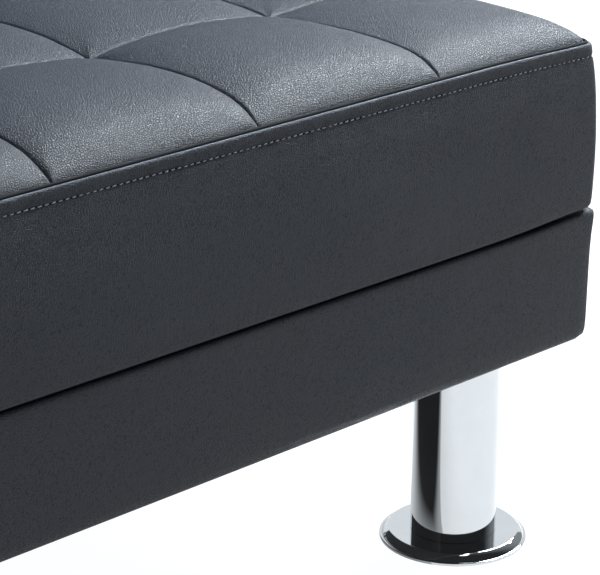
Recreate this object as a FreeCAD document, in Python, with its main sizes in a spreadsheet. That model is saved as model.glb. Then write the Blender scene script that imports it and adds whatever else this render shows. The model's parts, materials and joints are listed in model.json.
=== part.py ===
"""Three-seat futon sofa bed: a biscuit-tufted seat slab and back slab that share one click-clack hinge line,
standing on an upholstered box base with round chrome legs.

Axes: X runs along the sofa, -Y is the front, Z is up. The origin is on the floor, under the middle of the
sofa with its back upright. Lengths are millimetres and angles are degrees.
"""

import FreeCAD, Part
import math
import os
import sys

import Sketcher

SIZES = [
    # upholstery grid
    ("biscuit_pitch", 155, "width of a sewn biscuit along the sofa"),
    ("end_biscuit", 147, "width of the first and last biscuit"),
    ("biscuit_columns", 12, "biscuits along the sofa"),
    ("seat_row", 155, "depth of a seat biscuit"),
    ("seat_rows", 4, "biscuits from front to crease"),
    ("back_row", 150, "height of a back biscuit"),
    ("back_rows", 3, "biscuits from crease to top of back"),
    ("crown_height", 30, "rise of a biscuit above the edge seam"),
    ("crown_run", 60, "distance over which the crown rises"),
    ("seam_rise", 4, "quilted panel below the edge seam"),
    ("cushion_height", 119, "edge seam to underside of a slab"),
    ("boxing_thickness", 10, "padded side band of a slab"),
    ("felt_thickness", 4, "insulator felt on the springs"),
    ("rear_panel_thickness", 5, "board and leathercloth on the rear of the back"),
    # click-clack geometry
    ("crease_clearance", 16, "slab edge to hinge axis"),
    ("hinge_drop", 8, "edge seam to hinge axis"),
    ("back_angle", 75, "back, from flat"),
    ("seat_gap", 2, "base to slab underside"),
    # slab frames
    ("rail_thickness", 22, "slab frame rail"),
    ("rail_height", 40, "slab frame rail"),
    ("cross_rail_height", 24, "slab frame cross rail"),
    ("cross_rail_spacing", 460, "spacing of slab cross rails and base beams"),
    # sinuous springs
    ("wire_diameter", 3.8, "spring wire"),
    ("spring_bar", 40, "straight bar of a spring"),
    ("spring_turn", 30, "nominal spacing of the bars of a spring"),
    ("spring_spacing", 170, "nominal spacing between springs"),
    ("clip_width", 16, "spring clip along the rail"),
    ("clip_depth", 14, "spring clip across the rail"),
    ("clip_height", 6, "spring clip above the rail"),
    ("fit_clearance", 0.05, "radial clearance of a turning fit"),
    ("loose_clearance", 0.2, "clearance of a loose fit"),
    # base
    ("base_depth", 800, "front to rear of the base"),
    ("base_height", 89, "height of the base"),
    ("base_inset", 1, "base face behind the slab face"),
    ("base_padding", 6, "padded leathercloth on the base"),
    ("board_thickness", 18, "base board"),
    ("corner_block", 90, "side of a corner block"),
    ("dust_cover_thickness", 1, "cloth under the base"),
    ("deck_thickness", 4, "covered board on the base behind the crease"),
    # legs
    ("leg_height", 150, "floor to underside of base"),
    ("leg_inset", 60, "leg axis from the faces of the base"),
    ("tube_diameter", 60, "leg tube"),
    ("tube_wall", 1.5, "leg tube"),
    ("foot_diameter", 103, "foot disc flange"),
    ("foot_flat_diameter", 91, "raised flat of the foot disc"),
    ("flange_height", 2.5, "foot disc flange"),
    ("foot_height", 7, "foot disc"),
    ("glide_diameter", 84, "felt glide under a foot"),
    ("glide_height", 1.2, "felt glide under a foot"),
    ("plug_height", 8, "welded plug in a leg tube"),
    ("stud_diameter", 10, "leg stud"),
    ("stud_length", 46, "leg stud"),
    ("tee_nut_wall", 2, "tee nut barrel"),
    ("tee_nut_flange", 30, "tee nut flange"),
    ("tee_nut_height", 14, "tee nut barrel"),
    ("tee_nut_lip", 2, "tee nut flange"),
    ("foot_screw_diameter", 6, "screw through the foot disc"),
    ("foot_screw_head", 12, "screw through the foot disc"),
    ("foot_screw_length", 14, "screw through the foot disc"),
    ("centre_leg_diameter", 38, "middle support leg"),
    ("centre_leg_wall", 2, "middle support leg"),
    ("centre_foot_height", 12, "foot cap of the middle leg"),
    # hinge
    ("plate_thickness", 4, "hinge plate"),
    ("plate_spacing", 1, "washer between hinge plates"),
    ("stem_half_width", 10, "hinge plate stem each side of the hinge axis"),
    ("back_stem_front", 4, "back plate stem in front of the hinge axis, with the back flat"),
    ("back_stem_rear", 14, "back plate stem behind the hinge axis, with the back flat"),
    ("eye_diameter", 24, "hinge plate around the bolt"),
    ("foot_bar_length", 115, "hinge plate along a rail"),
    ("foot_bar_height", 30, "hinge plate along a rail"),
    ("bracket_width", 60, "base bracket on the end board"),
    ("bracket_drop", 66, "base bracket below the top of the base"),
    ("bolt_diameter", 10, "hinge bolt"),
    ("bolt_head_diameter", 18, "hinge bolt"),
    ("bolt_head_height", 4, "hinge bolt"),
    ("nut_height", 8, "hinge lock nut"),
    ("nut_flats", 17, "hinge lock nut"),
    ("screw_diameter", 6, "hinge wood screw"),
    ("screw_head_diameter", 11, "hinge wood screw"),
    ("screw_head_height", 2.5, "hinge wood screw"),
    ("screw_length", 16, "hinge wood screw in the wood"),
    ("sector_radius", 18, "tips of the ratchet teeth"),
    ("tooth_depth", 3, "ratchet tooth"),
    ("teeth", 5, "ratchet teeth"),
    ("sector_start", 172, "first tooth, with the back flat"),
    ("sector_sweep", 84, "angle over the teeth"),
    ("pawl_gap", 0.6, "pawl nose to tooth tips, lifted"),
    ("pawl_angle", 252, "direction of the pawl nose from the hinge axis"),
    ("pawl_pivot_forward", 36, "pawl pivot in front of the hinge axis"),
    ("pawl_pivot_drop", 27, "pawl pivot below the hinge axis"),
    ("pawl_pin_diameter", 6, "pawl pivot pin"),
    ("pawl_hub_diameter", 13, "pawl around its pin"),
    ("pawl_arm_width", 7, "pawl"),
    ("pawl_tail", 13, "pawl tail beyond its pin"),
    ("pawl_spring_diameter", 5, "pawl return spring"),
    ("pawl_spring_wire", 0.8, "pawl return spring"),
    ("pawl_spring_length", 18, "pawl return spring"),
    ("pawl_spring_turns", 9, "pawl return spring"),
    ("spring_post_diameter", 4, "post that holds the return spring"),
]

doc = FreeCAD.newDocument("futon_sofa_bed")
sheet = doc.addObject("Spreadsheet::Sheet", "Sizes")
for row, (alias, value, note) in enumerate(SIZES, start=1):
    sheet.set(f"A{row}", str(value))
    sheet.set(f"B{row}", note)
    sheet.setAlias(f"A{row}", alias)
doc.recompute()

SUBPARTS = []


class Dim:
    """A size that knows its number and the spreadsheet expression that gives it."""

    def __init__(self, value, text):
        self.value = float(value)
        self.text = text

    def _join(self, other, symbol, result):
        return Dim(result, f"({self.text} {symbol} {as_dim(other).text})")

    def __add__(self, other):
        return self._join(other, "+", self.value + as_dim(other).value)

    def __sub__(self, other):
        return self._join(other, "-", self.value - as_dim(other).value)

    def __mul__(self, other):
        return self._join(other, "*", self.value * as_dim(other).value)

    def __truediv__(self, other):
        return self._join(other, "/", self.value / as_dim(other).value)

    def __radd__(self, other):
        return as_dim(other) + self

    def __rsub__(self, other):
        return as_dim(other) - self

    def __rmul__(self, other):
        return as_dim(other) * self

    def __neg__(self):
        return as_dim(0) - self


def as_dim(value):
    return value if isinstance(value, Dim) else Dim(value, repr(float(value)))


def size(alias):
    """The driving dimension with this alias."""
    return Dim(sheet.get(alias), f"Sizes.{alias}")


def count(alias):
    """A driving dimension that counts pieces."""
    return int(round(float(sheet.get(alias))))


def cosine(angle):
    return Dim(math.cos(math.radians(angle.value)), f"cos({angle.text})")


def sine(angle):
    return Dim(math.sin(math.radians(angle.value)), f"sin({angle.text})")


# Levels and faces that the pieces share.
HALF_WIDTH = (size("biscuit_columns") - 2) * size("biscuit_pitch") / 2 + size("end_biscuit")
SEAT_DEPTH = size("seat_row") * size("seat_rows")
BACK_HEIGHT = size("back_row") * size("back_rows")
BACK_ANGLE = size("back_angle")
BASE_BOTTOM = size("leg_height")
BASE_TOP = BASE_BOTTOM + size("base_height")
SLAB_BOTTOM = BASE_TOP + size("seat_gap")
SEAM_LEVEL = SLAB_BOTTOM + size("cushion_height")
PIVOT_Z = SEAM_LEVEL - size("hinge_drop")
BELOW_PIVOT = size("cushion_height") - size("hinge_drop")
BACK_REACH = size("crease_clearance") + BACK_HEIGHT
FRONT = -(
    SEAT_DEPTH
    + size("crease_clearance")
    + BACK_REACH * cosine(BACK_ANGLE)
    + BELOW_PIVOT * sine(BACK_ANGLE)
) / 2
PIVOT_Y = FRONT + SEAT_DEPTH + size("crease_clearance")
BOXING = size("boxing_thickness")

# Hinge layers along X on the right-hand end, from the base bracket outwards.
BASE_SIDE = HALF_WIDTH - size("base_inset")
BOARD_OUTER = BASE_SIDE - size("base_padding")
BOARD_INNER = BOARD_OUTER - size("board_thickness")
BRACKET_X = BOARD_INNER - size("plate_thickness")
BACK_PLATE_X = BOARD_INNER + size("plate_spacing")
SEAT_PLATE_X = BACK_PLATE_X + size("plate_thickness") + size("plate_spacing")
BOLT_HEAD_X = SEAT_PLATE_X + size("plate_thickness")

BASE_FRONT = FRONT + size("base_inset")
BASE_REAR = FRONT + size("base_depth")


def bind(obj, name, dim):
    """Ties one property of obj to the spreadsheet."""
    obj.setExpression(name, dim.text)


def place(obj, x, y, z, tilted=False):
    """Puts obj at a point. A tilted piece belongs to the back: its point is measured from the hinge axis
    with the back flat, and it turns about that axis to the upright position."""
    x, y, z = as_dim(x), as_dim(y), as_dim(z)
    if tilted:
        obj.Placement = FreeCAD.Placement(
            FreeCAD.Vector(), FreeCAD.Rotation(FreeCAD.Vector(1, 0, 0), BACK_ANGLE.value)
        )
        bind(obj, "Placement.Rotation.Angle", BACK_ANGLE)
        flat_y, flat_z = y, z
        y = PIVOT_Y + flat_y * cosine(BACK_ANGLE) - flat_z * sine(BACK_ANGLE)
        z = PIVOT_Z + flat_y * sine(BACK_ANGLE) + flat_z * cosine(BACK_ANGLE)
    for axis, dim in zip("xyz", (x, y, z)):
        bind(obj, f"Placement.Base.{axis}", dim)
    return obj


def box(name, x, y, z, tilted=False):
    """A box between pairs of planes: each of x, y and z is (low, high)."""
    made = doc.addObject("Part::Box", name)
    for side, (low, high) in zip(("Length", "Width", "Height"), (x, y, z)):
        bind(made, side, as_dim(high) - as_dim(low))
    return place(made, x[0], y[0], z[0], tilted)


def cylinder_x(name, radius, x, y, z):
    """A cylinder along X from x[0] to x[1], about the point (y, z)."""
    made = doc.addObject("Part::Cylinder", name)
    made.Placement = FreeCAD.Placement(
        FreeCAD.Vector(), FreeCAD.Rotation(FreeCAD.Vector(0, 1, 0), 90)
    )
    bind(made, "Radius", as_dim(radius))
    bind(made, "Height", as_dim(x[1]) - as_dim(x[0]))
    return place(made, x[0], y, z)


def cylinder_z(name, radius, x, y, z):
    """An upright cylinder about the point (x, y), from z[0] to z[1]."""
    made = doc.addObject("Part::Cylinder", name)
    bind(made, "Radius", as_dim(radius))
    bind(made, "Height", as_dim(z[1]) - as_dim(z[0]))
    return place(made, x, y, z[0])


def cut(name, base, *tools):
    """base with every tool cut out of it."""
    made = doc.addObject("Part::Cut", name)
    made.Base = base
    made.Tool = tools[0] if len(tools) == 1 else fuse(name + "_cutters", *tools)
    return made


def fuse(name, *shapes):
    made = doc.addObject("Part::MultiFuse", name)
    made.Shapes = list(shapes)
    return made


def group(name, members):
    """Identical pieces that share one node, as separate solids."""
    made = doc.addObject("Part::Compound", name)
    made.Links = list(members)
    return made


def mirrored(name, source):
    """The left-hand copy of a right-hand piece."""
    made = doc.addObject("Part::Mirroring", name)
    made.Source = source
    made.Base = FreeCAD.Vector(0, 0, 0)
    made.Normal = FreeCAD.Vector(1, 0, 0)
    return made


def pair(name, right):
    """A right-hand piece and its mirror image as one node."""
    return group(name, [right, mirrored(name + "_mirror", right)])


def keep(label, obj):
    """Registers obj as a sub-part; its label names its file."""
    obj.Label = label
    SUBPARTS.append(obj)
    return obj


def new_body(name):
    return doc.addObject("PartDesign::Body", name)


def new_sketch(body, role, name):
    """A sketch on one of the body's own origin planes."""
    made = body.newObject("Sketcher::SketchObject", name)
    plane = [f for f in body.Origin.OriginFeatures if f.Role == role][0]
    made.AttachmentSupport = [(plane, "")]
    made.MapMode = "FlatFace"
    return made


def pin_point(sk, geometry, point, x, y):
    """Fixes a sketch point at (x, y) with two driving distances from the sketch's origin."""
    for kind, dim in (("DistanceX", as_dim(x)), ("DistanceY", as_dim(y))):
        index = sk.addConstraint(Sketcher.Constraint(kind, -1, 1, geometry, point, dim.value))
        sk.setExpression(f"Constraints[{index}]", dim.text)


def polygon(sk, corners):
    """A closed polygon whose corners are all driven by the sheet."""
    points = [FreeCAD.Vector(as_dim(x).value, as_dim(y).value, 0) for x, y in corners]
    first = sk.GeometryCount
    for a, b in zip(points, points[1:] + points[:1]):
        sk.addGeometry(Part.LineSegment(a, b), False)
    n = len(points)
    for i in range(n):
        sk.addConstraint(Sketcher.Constraint("Coincident", first + i, 2, first + (i + 1) % n, 1))
    for i, (x, y) in enumerate(corners):
        pin_point(sk, first + i, 1, x, y)


def circle(sk, x, y, radius):
    x, y, radius = as_dim(x), as_dim(y), as_dim(radius)
    centre = FreeCAD.Vector(x.value, y.value, 0)
    g = sk.addGeometry(Part.Circle(centre, FreeCAD.Vector(0, 0, 1), radius.value), False)
    pin_point(sk, g, 3, x, y)
    index = sk.addConstraint(Sketcher.Constraint("Radius", g, radius.value))
    sk.setExpression(f"Constraints[{index}]", radius.text)


def pad(body, sk, length, name, reversed_=False, midplane=False):
    made = body.newObject("PartDesign::Pad", name)
    made.Profile = sk
    made.Reversed = reversed_
    made.Midplane = midplane
    bind(made, "Length", as_dim(length))
    return made


def revolve(body, sk, name):
    """Turns a sketch on the XZ plane once round Z."""
    made = body.newObject("PartDesign::Revolution", name)
    made.Profile = sk
    made.ReferenceAxis = (sk, ["V_Axis"])
    made.Angle = 360
    return made


# ---------------------------------------------------------------- upholstery


def loaf_profile(sk, width, side, total, run):
    """A crowned section: flat below, short upright sides, and a shoulder arc that runs into a flat top."""
    half, side, total, run = as_dim(width) / 2, as_dim(side), as_dim(total), as_dim(run)
    rise = total.value - side.value
    radius = (run.value**2 + rise**2) / (2 * rise)
    opening = math.asin(run.value / radius)
    shoulder = half.value - run.value
    level = math.pi / 2

    def line(ax, ay, bx, by):
        return sk.addGeometry(
            Part.LineSegment(FreeCAD.Vector(ax, ay, 0), FreeCAD.Vector(bx, by, 0)), False
        )

    def arc(centre_x, start, end):
        centre = FreeCAD.Vector(centre_x, total.value - radius, 0)
        whole = Part.Circle(centre, FreeCAD.Vector(0, 0, 1), radius)
        return sk.addGeometry(Part.ArcOfCircle(whole, start, end), False)

    bottom = line(-half.value, 0, half.value, 0)
    right = line(half.value, 0, half.value, side.value)
    right_arc = arc(shoulder, level - opening, level)
    top = line(shoulder, total.value, -shoulder, total.value)
    left_arc = arc(-shoulder, level, level + opening)
    left = line(-half.value, side.value, -half.value, 0)
    joins = (
        ("Coincident", bottom, right), ("Coincident", right, right_arc), ("Tangent", right_arc, top),
        ("Tangent", top, left_arc), ("Coincident", left_arc, left), ("Coincident", left, bottom),
    )
    for kind, a, b in joins:
        sk.addConstraint(Sketcher.Constraint(kind, a, 2, b, 1))
    pin_point(sk, bottom, 1, -half, 0)
    pin_point(sk, bottom, 2, half, 0)
    pin_point(sk, right, 2, half, side)
    pin_point(sk, top, 1, half - run, total)
    pin_point(sk, top, 2, run - half, total)
    pin_point(sk, left, 1, -half, side)


def crowned_slab(name, depth):
    """The quilted panel of a slab, as wide as the sofa: two crowned bars, one each way, in common."""
    total = size("seam_rise") + size("crown_height")
    forms = []
    for way, role, across, along in (
        ("lengthwise", "YZ_Plane", depth, 2 * HALF_WIDTH),
        ("crosswise", "XZ_Plane", 2 * HALF_WIDTH, depth),
    ):
        body = new_body(f"{name}_{way}")
        sk = new_sketch(body, role, f"{name}_{way}_section")
        loaf_profile(sk, across, size("seam_rise"), total, size("crown_run"))
        doc.recompute()
        pad(body, sk, along, f"{name}_{way}_bar", midplane=True)
        forms.append(body)
    made = doc.addObject("Part::MultiCommon", name)
    made.Shapes = forms
    return made


def rails(prefix, y_low, y_high, side_outer, z_low, tilted):
    """The timber frame of a slab: two long rails, two side rails and three cross rails."""
    thick = size("rail_thickness")
    z = (z_low, z_low + size("rail_height"))
    side = (side_outer - thick, side_outer)
    inner = (thick - side_outer, side_outer - thick)
    names = ("lower", "upper") if tilted else ("front", "rear")
    keep(f"{prefix}_{names[0]}_rail",
         box(f"{prefix}_rail_a", inner, (y_low, y_low + thick), z, tilted))
    keep(f"{prefix}_{names[1]}_rail",
         box(f"{prefix}_rail_b", inner, (y_high - thick, y_high), z, tilted))
    right = box(f"{prefix}_side_rail", side, (y_low, y_high), z, tilted)
    keep(f"{prefix}_side_rails", pair(f"{prefix}_side_rail_pair", right))
    between = (y_low + thick, y_high - thick)
    cross_z = (z_low, z_low + size("cross_rail_height"))
    members = []
    for i in (-1, 0, 1):
        x = i * size("cross_rail_spacing")
        members.append(
            box(f"{prefix}_cross_rail_{i + 2}", (x - thick / 2, x + thick / 2), between, cross_z, tilted)
        )
    keep(f"{prefix}_cross_rails", group(f"{prefix}_cross_rail_set", members))


def spring_positions(side_outer):
    """Places of the springs along the sofa, spread evenly and clear of the side rails."""
    reach = 2 * (side_outer - size("rail_thickness")).value - size("spring_spacing").value
    spaces = max(2, round(reach / size("spring_spacing").value))
    return [reach * (i / spaces - 0.5) for i in range(spaces + 1)]


def sinuous_wire(y_low, y_high, z):
    """Centre line of one zigzag spring at x = 0: bars along X joined by half turns."""
    bars = max(2, round((y_high - y_low) / size("spring_turn").value))
    step = (y_high - y_low) / bars
    half = size("spring_bar").value / 2
    edges = []
    for i in range(bars + 1):
        y = y_low + i * step
        way = 1 if i % 2 == 0 else -1
        start, end = FreeCAD.Vector(-way * half, y, z), FreeCAD.Vector(way * half, y, z)
        edges.append(Part.LineSegment(start, end).toShape())
        if i < bars:
            middle = FreeCAD.Vector(way * (half + step / 2), y + step / 2, z)
            after = FreeCAD.Vector(way * half, y + step, z)
            edges.append(Part.Arc(end, middle, after).toShape())
    return Part.Wire(edges)


def springs(prefix, y_low, y_high, side_outer, z_low, tilted):
    """Sinuous springs across a slab frame and the clips that hold their ends on the two long rails."""
    radius = size("wire_diameter").value / 2
    rail = size("rail_thickness").value
    clip_z = z_low.value + size("rail_height").value
    wire_z = clip_z + size("clip_height").value / 2
    first, last = y_low.value + rail / 2, y_high.value - rail / 2
    path = sinuous_wire(first, last, wire_z)
    start = path.Edges[0].Vertexes[0].Point
    disc = Part.Wire(Part.Circle(start, FreeCAD.Vector(1, 0, 0), radius).toShape())
    one = path.makePipeShell([disc], True, False)
    width, depth = size("clip_width").value, size("clip_depth").value
    bore = radius + size("loose_clearance").value
    wires, clips = [], []
    for x in spring_positions(side_outer):
        wires.append(one.translated(FreeCAD.Vector(x, 0, 0)))
        for y in (first, last):
            corner = FreeCAD.Vector(x - width / 2, y - depth / 2, clip_z)
            block = Part.makeBox(width, depth, size("clip_height").value, corner)
            hole = Part.makeCylinder(
                bore, width, FreeCAD.Vector(x - width / 2, y, wire_z), FreeCAD.Vector(1, 0, 0)
            )
            clips.append(block.cut(hole))
    for label, solids in ((f"{prefix}_springs", wires), (f"{prefix}_spring_clips", clips)):
        made = doc.addObject("Part::Feature", label + "_set")
        made.Shape = Part.makeCompound(solids)
        if tilted:
            place(made, 0, 0, 0, tilted=True)
        keep(label, made)


def slab(prefix, y_low, y_high, side_outer, z_seam, tilted):
    """Everything that makes a slab apart from its hinge plates. y_low to y_high is its whole depth."""
    z_low = z_seam - size("cushion_height")
    inner_y = (y_low + BOXING, y_high - BOXING)
    panel_z = z_seam - size("seam_rise")
    back = prefix == "back"
    frame_z = z_low + size("rear_panel_thickness") if back else z_low
    rails(prefix, *inner_y, side_outer, frame_z, tilted)
    springs(prefix, *inner_y, side_outer, frame_z, tilted)
    felt_z = frame_z + size("rail_height") + size("clip_height") + size("loose_clearance")
    felt_x = (-side_outer, side_outer)
    keep(f"{prefix}_insulator_felt",
         box(f"{prefix}_felt", felt_x, inner_y, (felt_z, felt_z + size("felt_thickness")), tilted))
    foam_x = HALF_WIDTH - BOXING
    foam_z = (felt_z + size("felt_thickness"), panel_z)
    foam = box(f"{prefix}_foam_block", (-foam_x, foam_x), inner_y, foam_z, tilted)
    if not back:
        bay = box(
            "hinge_bay",
            (BRACKET_X - size("plate_spacing"), HALF_WIDTH),
            (PIVOT_Y - 2 * size("pawl_pivot_forward"), PIVOT_Y),
            foam_z,
        )
        foam = cut("seat_foam_cut", foam, bay, mirrored("hinge_bay_mirror", bay))
    keep(f"{prefix}_foam", foam)
    panel = crowned_slab(f"{prefix}_panel", as_dim(y_high) - as_dim(y_low))
    place(panel, 0, (as_dim(y_low) + as_dim(y_high)) / 2, panel_z, tilted)
    keep("back_tufted_panel" if back else "seat_tufted_panel", panel)
    boxing(prefix, y_low, y_high, (z_low, panel_z), tilted)


def boxing(prefix, y_low, y_high, z, tilted):
    """The padded side band of a slab. The band at the crease stops short of the hinge plates."""
    open_x = (size("plate_spacing") - BRACKET_X, BRACKET_X - size("plate_spacing"))
    full_x = (BOXING - HALF_WIDTH, HALF_WIDTH - BOXING)
    near, far = (y_low, y_low + BOXING), (y_high - BOXING, y_high)
    if prefix == "back":
        bands = (("crease", open_x, near), ("top", full_x, far))
    else:
        bands = (("front", full_x, near), ("crease", open_x, far))
    for name, x, y in bands:
        keep(f"{prefix}_boxing_{name}", box(f"{prefix}_band_{name}", x, y, z, tilted))
    end = box(f"{prefix}_band_end", (HALF_WIDTH - BOXING, HALF_WIDTH), (y_low, y_high), z, tilted)
    keep(f"{prefix}_boxing_ends", pair(f"{prefix}_band_end_pair", end))


def rear_panel():
    """The stiff covered board that closes the rear of the back."""
    low = -BELOW_PIVOT
    y = (size("crease_clearance") + BOXING, BACK_REACH - BOXING)
    x = HALF_WIDTH - BOXING - size("bolt_head_height")
    keep("back_rear_panel",
         box("rear_panel_board", (-x, x), y, (low, low + size("rear_panel_thickness")), True))


# ---------------------------------------------------------------------- base


def base_frame():
    """Boards on edge, a rail under the crease, cross beams and the corner blocks that carry the legs."""
    thick, z = size("board_thickness"), (BASE_BOTTOM, BASE_TOP)
    pad_thick = size("base_padding")
    front = BASE_FRONT + pad_thick
    rear = BASE_REAR - pad_thick
    across = (-BOARD_OUTER, BOARD_OUTER)
    keep("base_long_boards", group("long_boards", [
        box("front_board", across, (front, front + thick), z),
        box("rear_board", across, (rear - thick, rear), z)]))
    end = box("end_board", (BOARD_INNER, BOARD_OUTER), (front + thick, rear - thick), z)
    keep("base_end_boards", pair("end_board_pair", end))
    crease = PIVOT_Y - size("crease_clearance")
    crease_rail = (crease - BOXING - thick, crease - BOXING)
    under_deck = (BASE_BOTTOM, BASE_TOP - size("deck_thickness"))
    keep("base_crease_rail", box("crease_rail", (-BRACKET_X, BRACKET_X), crease_rail, under_deck))
    deck_x = BRACKET_X - size("plate_spacing")
    keep("base_rear_deck",
         box("rear_deck", (-deck_x, deck_x), (crease_rail[0], rear - thick), (under_deck[1], BASE_TOP)))
    beams = []
    for i in (-1, 0, 1):
        x = i * size("cross_rail_spacing")
        for part, y in (("front", (front + thick, crease_rail[0])), ("rear", (crease_rail[1], rear - thick))):
            beams.append(box(f"beam_{part}_{i + 2}", (x - thick / 2, x + thick / 2), y, under_deck))
    keep("base_cross_beams", group("cross_beams", beams))
    block = size("corner_block")
    blocks = []
    for name, y_edge, y_far in (
        ("front", front + thick, front + thick + block),
        ("rear", rear - thick - block, rear - thick),
    ):
        solid = box(f"{name}_block", (BOARD_INNER - block, BOARD_INNER), (y_edge, y_far), under_deck)
        hole = cylinder_z(f"{name}_block_bore", stud_bore(), LEG_X, leg_y(name), under_deck)
        recess = cylinder_z(
            f"{name}_block_recess", size("tee_nut_flange") / 2 + size("loose_clearance"),
            LEG_X, leg_y(name), (tee_nut_top(), under_deck[1]),
        )
        blocks.append(cut(f"{name}_block_bored", solid, hole, recess))
    keep("base_corner_blocks", group("corner_blocks", blocks + [
        mirrored("front_block_mirror", blocks[0]), mirrored("rear_block_mirror", blocks[1])]))


def base_skin():
    """Padded leathercloth on the four sides of the base, and the cloth stapled under it."""
    z, pad_thick = (BASE_BOTTOM, BASE_TOP), size("base_padding")
    full = (-BASE_SIDE, BASE_SIDE)
    keep("base_cover_front", box("cover_front", full, (BASE_FRONT, BASE_FRONT + pad_thick), z))
    keep("base_cover_rear", box("cover_rear", full, (BASE_REAR - pad_thick, BASE_REAR), z))
    between = (BASE_FRONT + pad_thick, BASE_REAR - pad_thick)
    keep("base_cover_ends", pair("cover_end_pair", box("cover_end", (BOARD_OUTER, BASE_SIDE), between, z)))
    sheet_z = (BASE_BOTTOM - size("dust_cover_thickness"), BASE_BOTTOM)
    cloth = box("dust_cloth", (-BOARD_OUTER, BOARD_OUTER), between, sheet_z)
    tools = []
    for name in ("front", "rear"):
        hole = cylinder_z(f"{name}_cloth_hole", size("tube_diameter") / 2 + 1, LEG_X, leg_y(name), sheet_z)
        tools += [hole, mirrored(f"{name}_cloth_hole_mirror", hole)]
    tools.append(
        cylinder_z("centre_cloth_hole", size("centre_leg_diameter") / 2 + 1, 0, CENTRE_LEG_Y, sheet_z)
    )
    keep("base_dust_cover", cut("dust_cloth_cut", cloth, *tools))


# ---------------------------------------------------------------------- legs

LEG_X = BASE_SIDE + size("base_inset") - size("leg_inset")
CENTRE_LEG_Y = (BASE_FRONT + PIVOT_Y) / 2
LEG_BOTTOM = size("glide_height") + size("foot_height")


def leg_y(end):
    return FRONT + size("leg_inset") if end == "front" else BASE_REAR - size("leg_inset")


def stud_bore():
    return size("stud_diameter") / 2 + size("tee_nut_wall") + size("loose_clearance")


def tee_nut_top():
    return BASE_BOTTOM + size("stud_length") - size("plug_height") - size("tee_nut_lip")


def leg_corners():
    """(name, sign of X, Y) of the four chrome legs."""
    for end in ("front", "rear"):
        for side, sign in (("left", -1), ("right", 1)):
            yield f"{end}_{side}", sign, leg_y(end)


def leg_tube(name, x, y):
    body = new_body(f"tube_{name}")
    sk = new_sketch(body, "XY_Plane", f"tube_{name}_section")
    circle(sk, 0, 0, size("tube_diameter") / 2)
    circle(sk, 0, 0, size("tube_diameter") / 2 - size("tube_wall"))
    pad(body, sk, BASE_BOTTOM - LEG_BOTTOM, f"tube_{name}_wall")
    keep(f"leg_tube_{name}", place(body, x, y, LEG_BOTTOM))


def foot_disc(name, x, y):
    """A turned disc: a thin flange, a bevelled shoulder and a flat that the tube stands on."""
    hole = size("foot_screw_diameter") / 2 + size("loose_clearance")
    flange, flat = size("foot_diameter") / 2, size("foot_flat_diameter") / 2
    low, top = size("flange_height"), size("foot_height")
    shoulder = flange - 1
    middle = (shoulder - flat) * 0.3
    body = turned(f"foot_{name}", [
        (hole, 0), (flange, 0), (flange, low), (shoulder, low), (flat + middle, top - 0.6),
        (flat, top), (hole, top),
    ])
    return place(body, x, y, size("glide_height"))


def turned(name, corners):
    """A body turned round Z from a section in the XZ plane."""
    body = new_body(name)
    sk = new_sketch(body, "XZ_Plane", f"{name}_section")
    polygon(sk, corners)
    revolve(body, sk, f"{name}_turned")
    return body


def legs():
    tube_inner = size("tube_diameter") / 2 - size("tube_wall")
    stud = size("stud_diameter") / 2
    screw = size("foot_screw_diameter") / 2
    plug = size("plug_height")
    feet, plugs, studs, tee_nuts, screws, glides = [], [], [], [], [], []
    for name, sign, y in leg_corners():
        x = sign * LEG_X
        leg_tube(name, x, y)
        feet.append(foot_disc(name, x, y))
        for where, bore, z in (("top", stud, BASE_BOTTOM - plug), ("foot", screw, LEG_BOTTOM)):
            ring = turned(f"plug_{where}_{name}", [(bore, 0), (tube_inner, 0), (tube_inner, plug), (bore, plug)])
            plugs.append(place(ring, x, y, z))
        studs.append(cylinder_z(f"stud_{name}", stud, x, y,
                                (BASE_BOTTOM - plug, BASE_BOTTOM - plug + size("stud_length"))))
        barrel = stud + size("tee_nut_wall")
        flange, lip = size("tee_nut_flange") / 2, size("tee_nut_lip")
        nut = turned(f"tee_nut_{name}", [
            (stud, -size("tee_nut_height")), (barrel, -size("tee_nut_height")), (barrel, 0),
            (flange, 0), (flange, lip), (stud, lip)])
        tee_nuts.append(place(nut, x, y, tee_nut_top()))
        head = size("foot_screw_head") / 2
        recess = size("glide_height")
        screw_body = turned(f"foot_screw_{name}", [
            (0, recess / 3), (head, recess / 3), (head, recess), (screw, recess),
            (screw, size("foot_screw_length")), (0, size("foot_screw_length"))])
        screws.append(place(screw_body, x, y, 0))
        ring = turned(f"glide_{name}", [
            (head + size("loose_clearance"), 0), (size("glide_diameter") / 2, 0),
            (size("glide_diameter") / 2, recess), (head + size("loose_clearance"), recess)])
        glides.append(place(ring, x, y, 0))
    keep("leg_foot_discs", group("leg_foot_set", feet))
    keep("leg_plugs", group("leg_plug_set", plugs))
    keep("leg_studs", group("leg_stud_set", studs))
    keep("leg_tee_nuts", group("leg_tee_nut_set", tee_nuts))
    keep("leg_foot_screws", group("leg_foot_screw_set", screws))
    keep("leg_glides", group("leg_glide_set", glides))
    centre_leg()


def centre_leg():
    """A plain steel tube under the middle beam, with a moulded cap on the floor."""
    outer = size("centre_leg_diameter") / 2
    inner = outer - size("centre_leg_wall")
    cap = size("centre_foot_height")
    tube = turned("centre_tube", [
        (inner, 0), (outer, 0), (outer, BASE_BOTTOM - cap), (0, BASE_BOTTOM - cap),
        (0, BASE_BOTTOM - cap - size("centre_leg_wall")), (inner, BASE_BOTTOM - cap - size("centre_leg_wall")),
    ])
    keep("centre_leg_tube", place(tube, 0, CENTRE_LEG_Y, cap))
    foot = turned("centre_cap", [(0, 0), (outer + 4, 0), (outer + 4, cap - 4), (outer, cap), (0, cap)])
    keep("centre_leg_cap", place(foot, 0, CENTRE_LEG_Y, 0))


# --------------------------------------------------------------------- hinge


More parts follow.
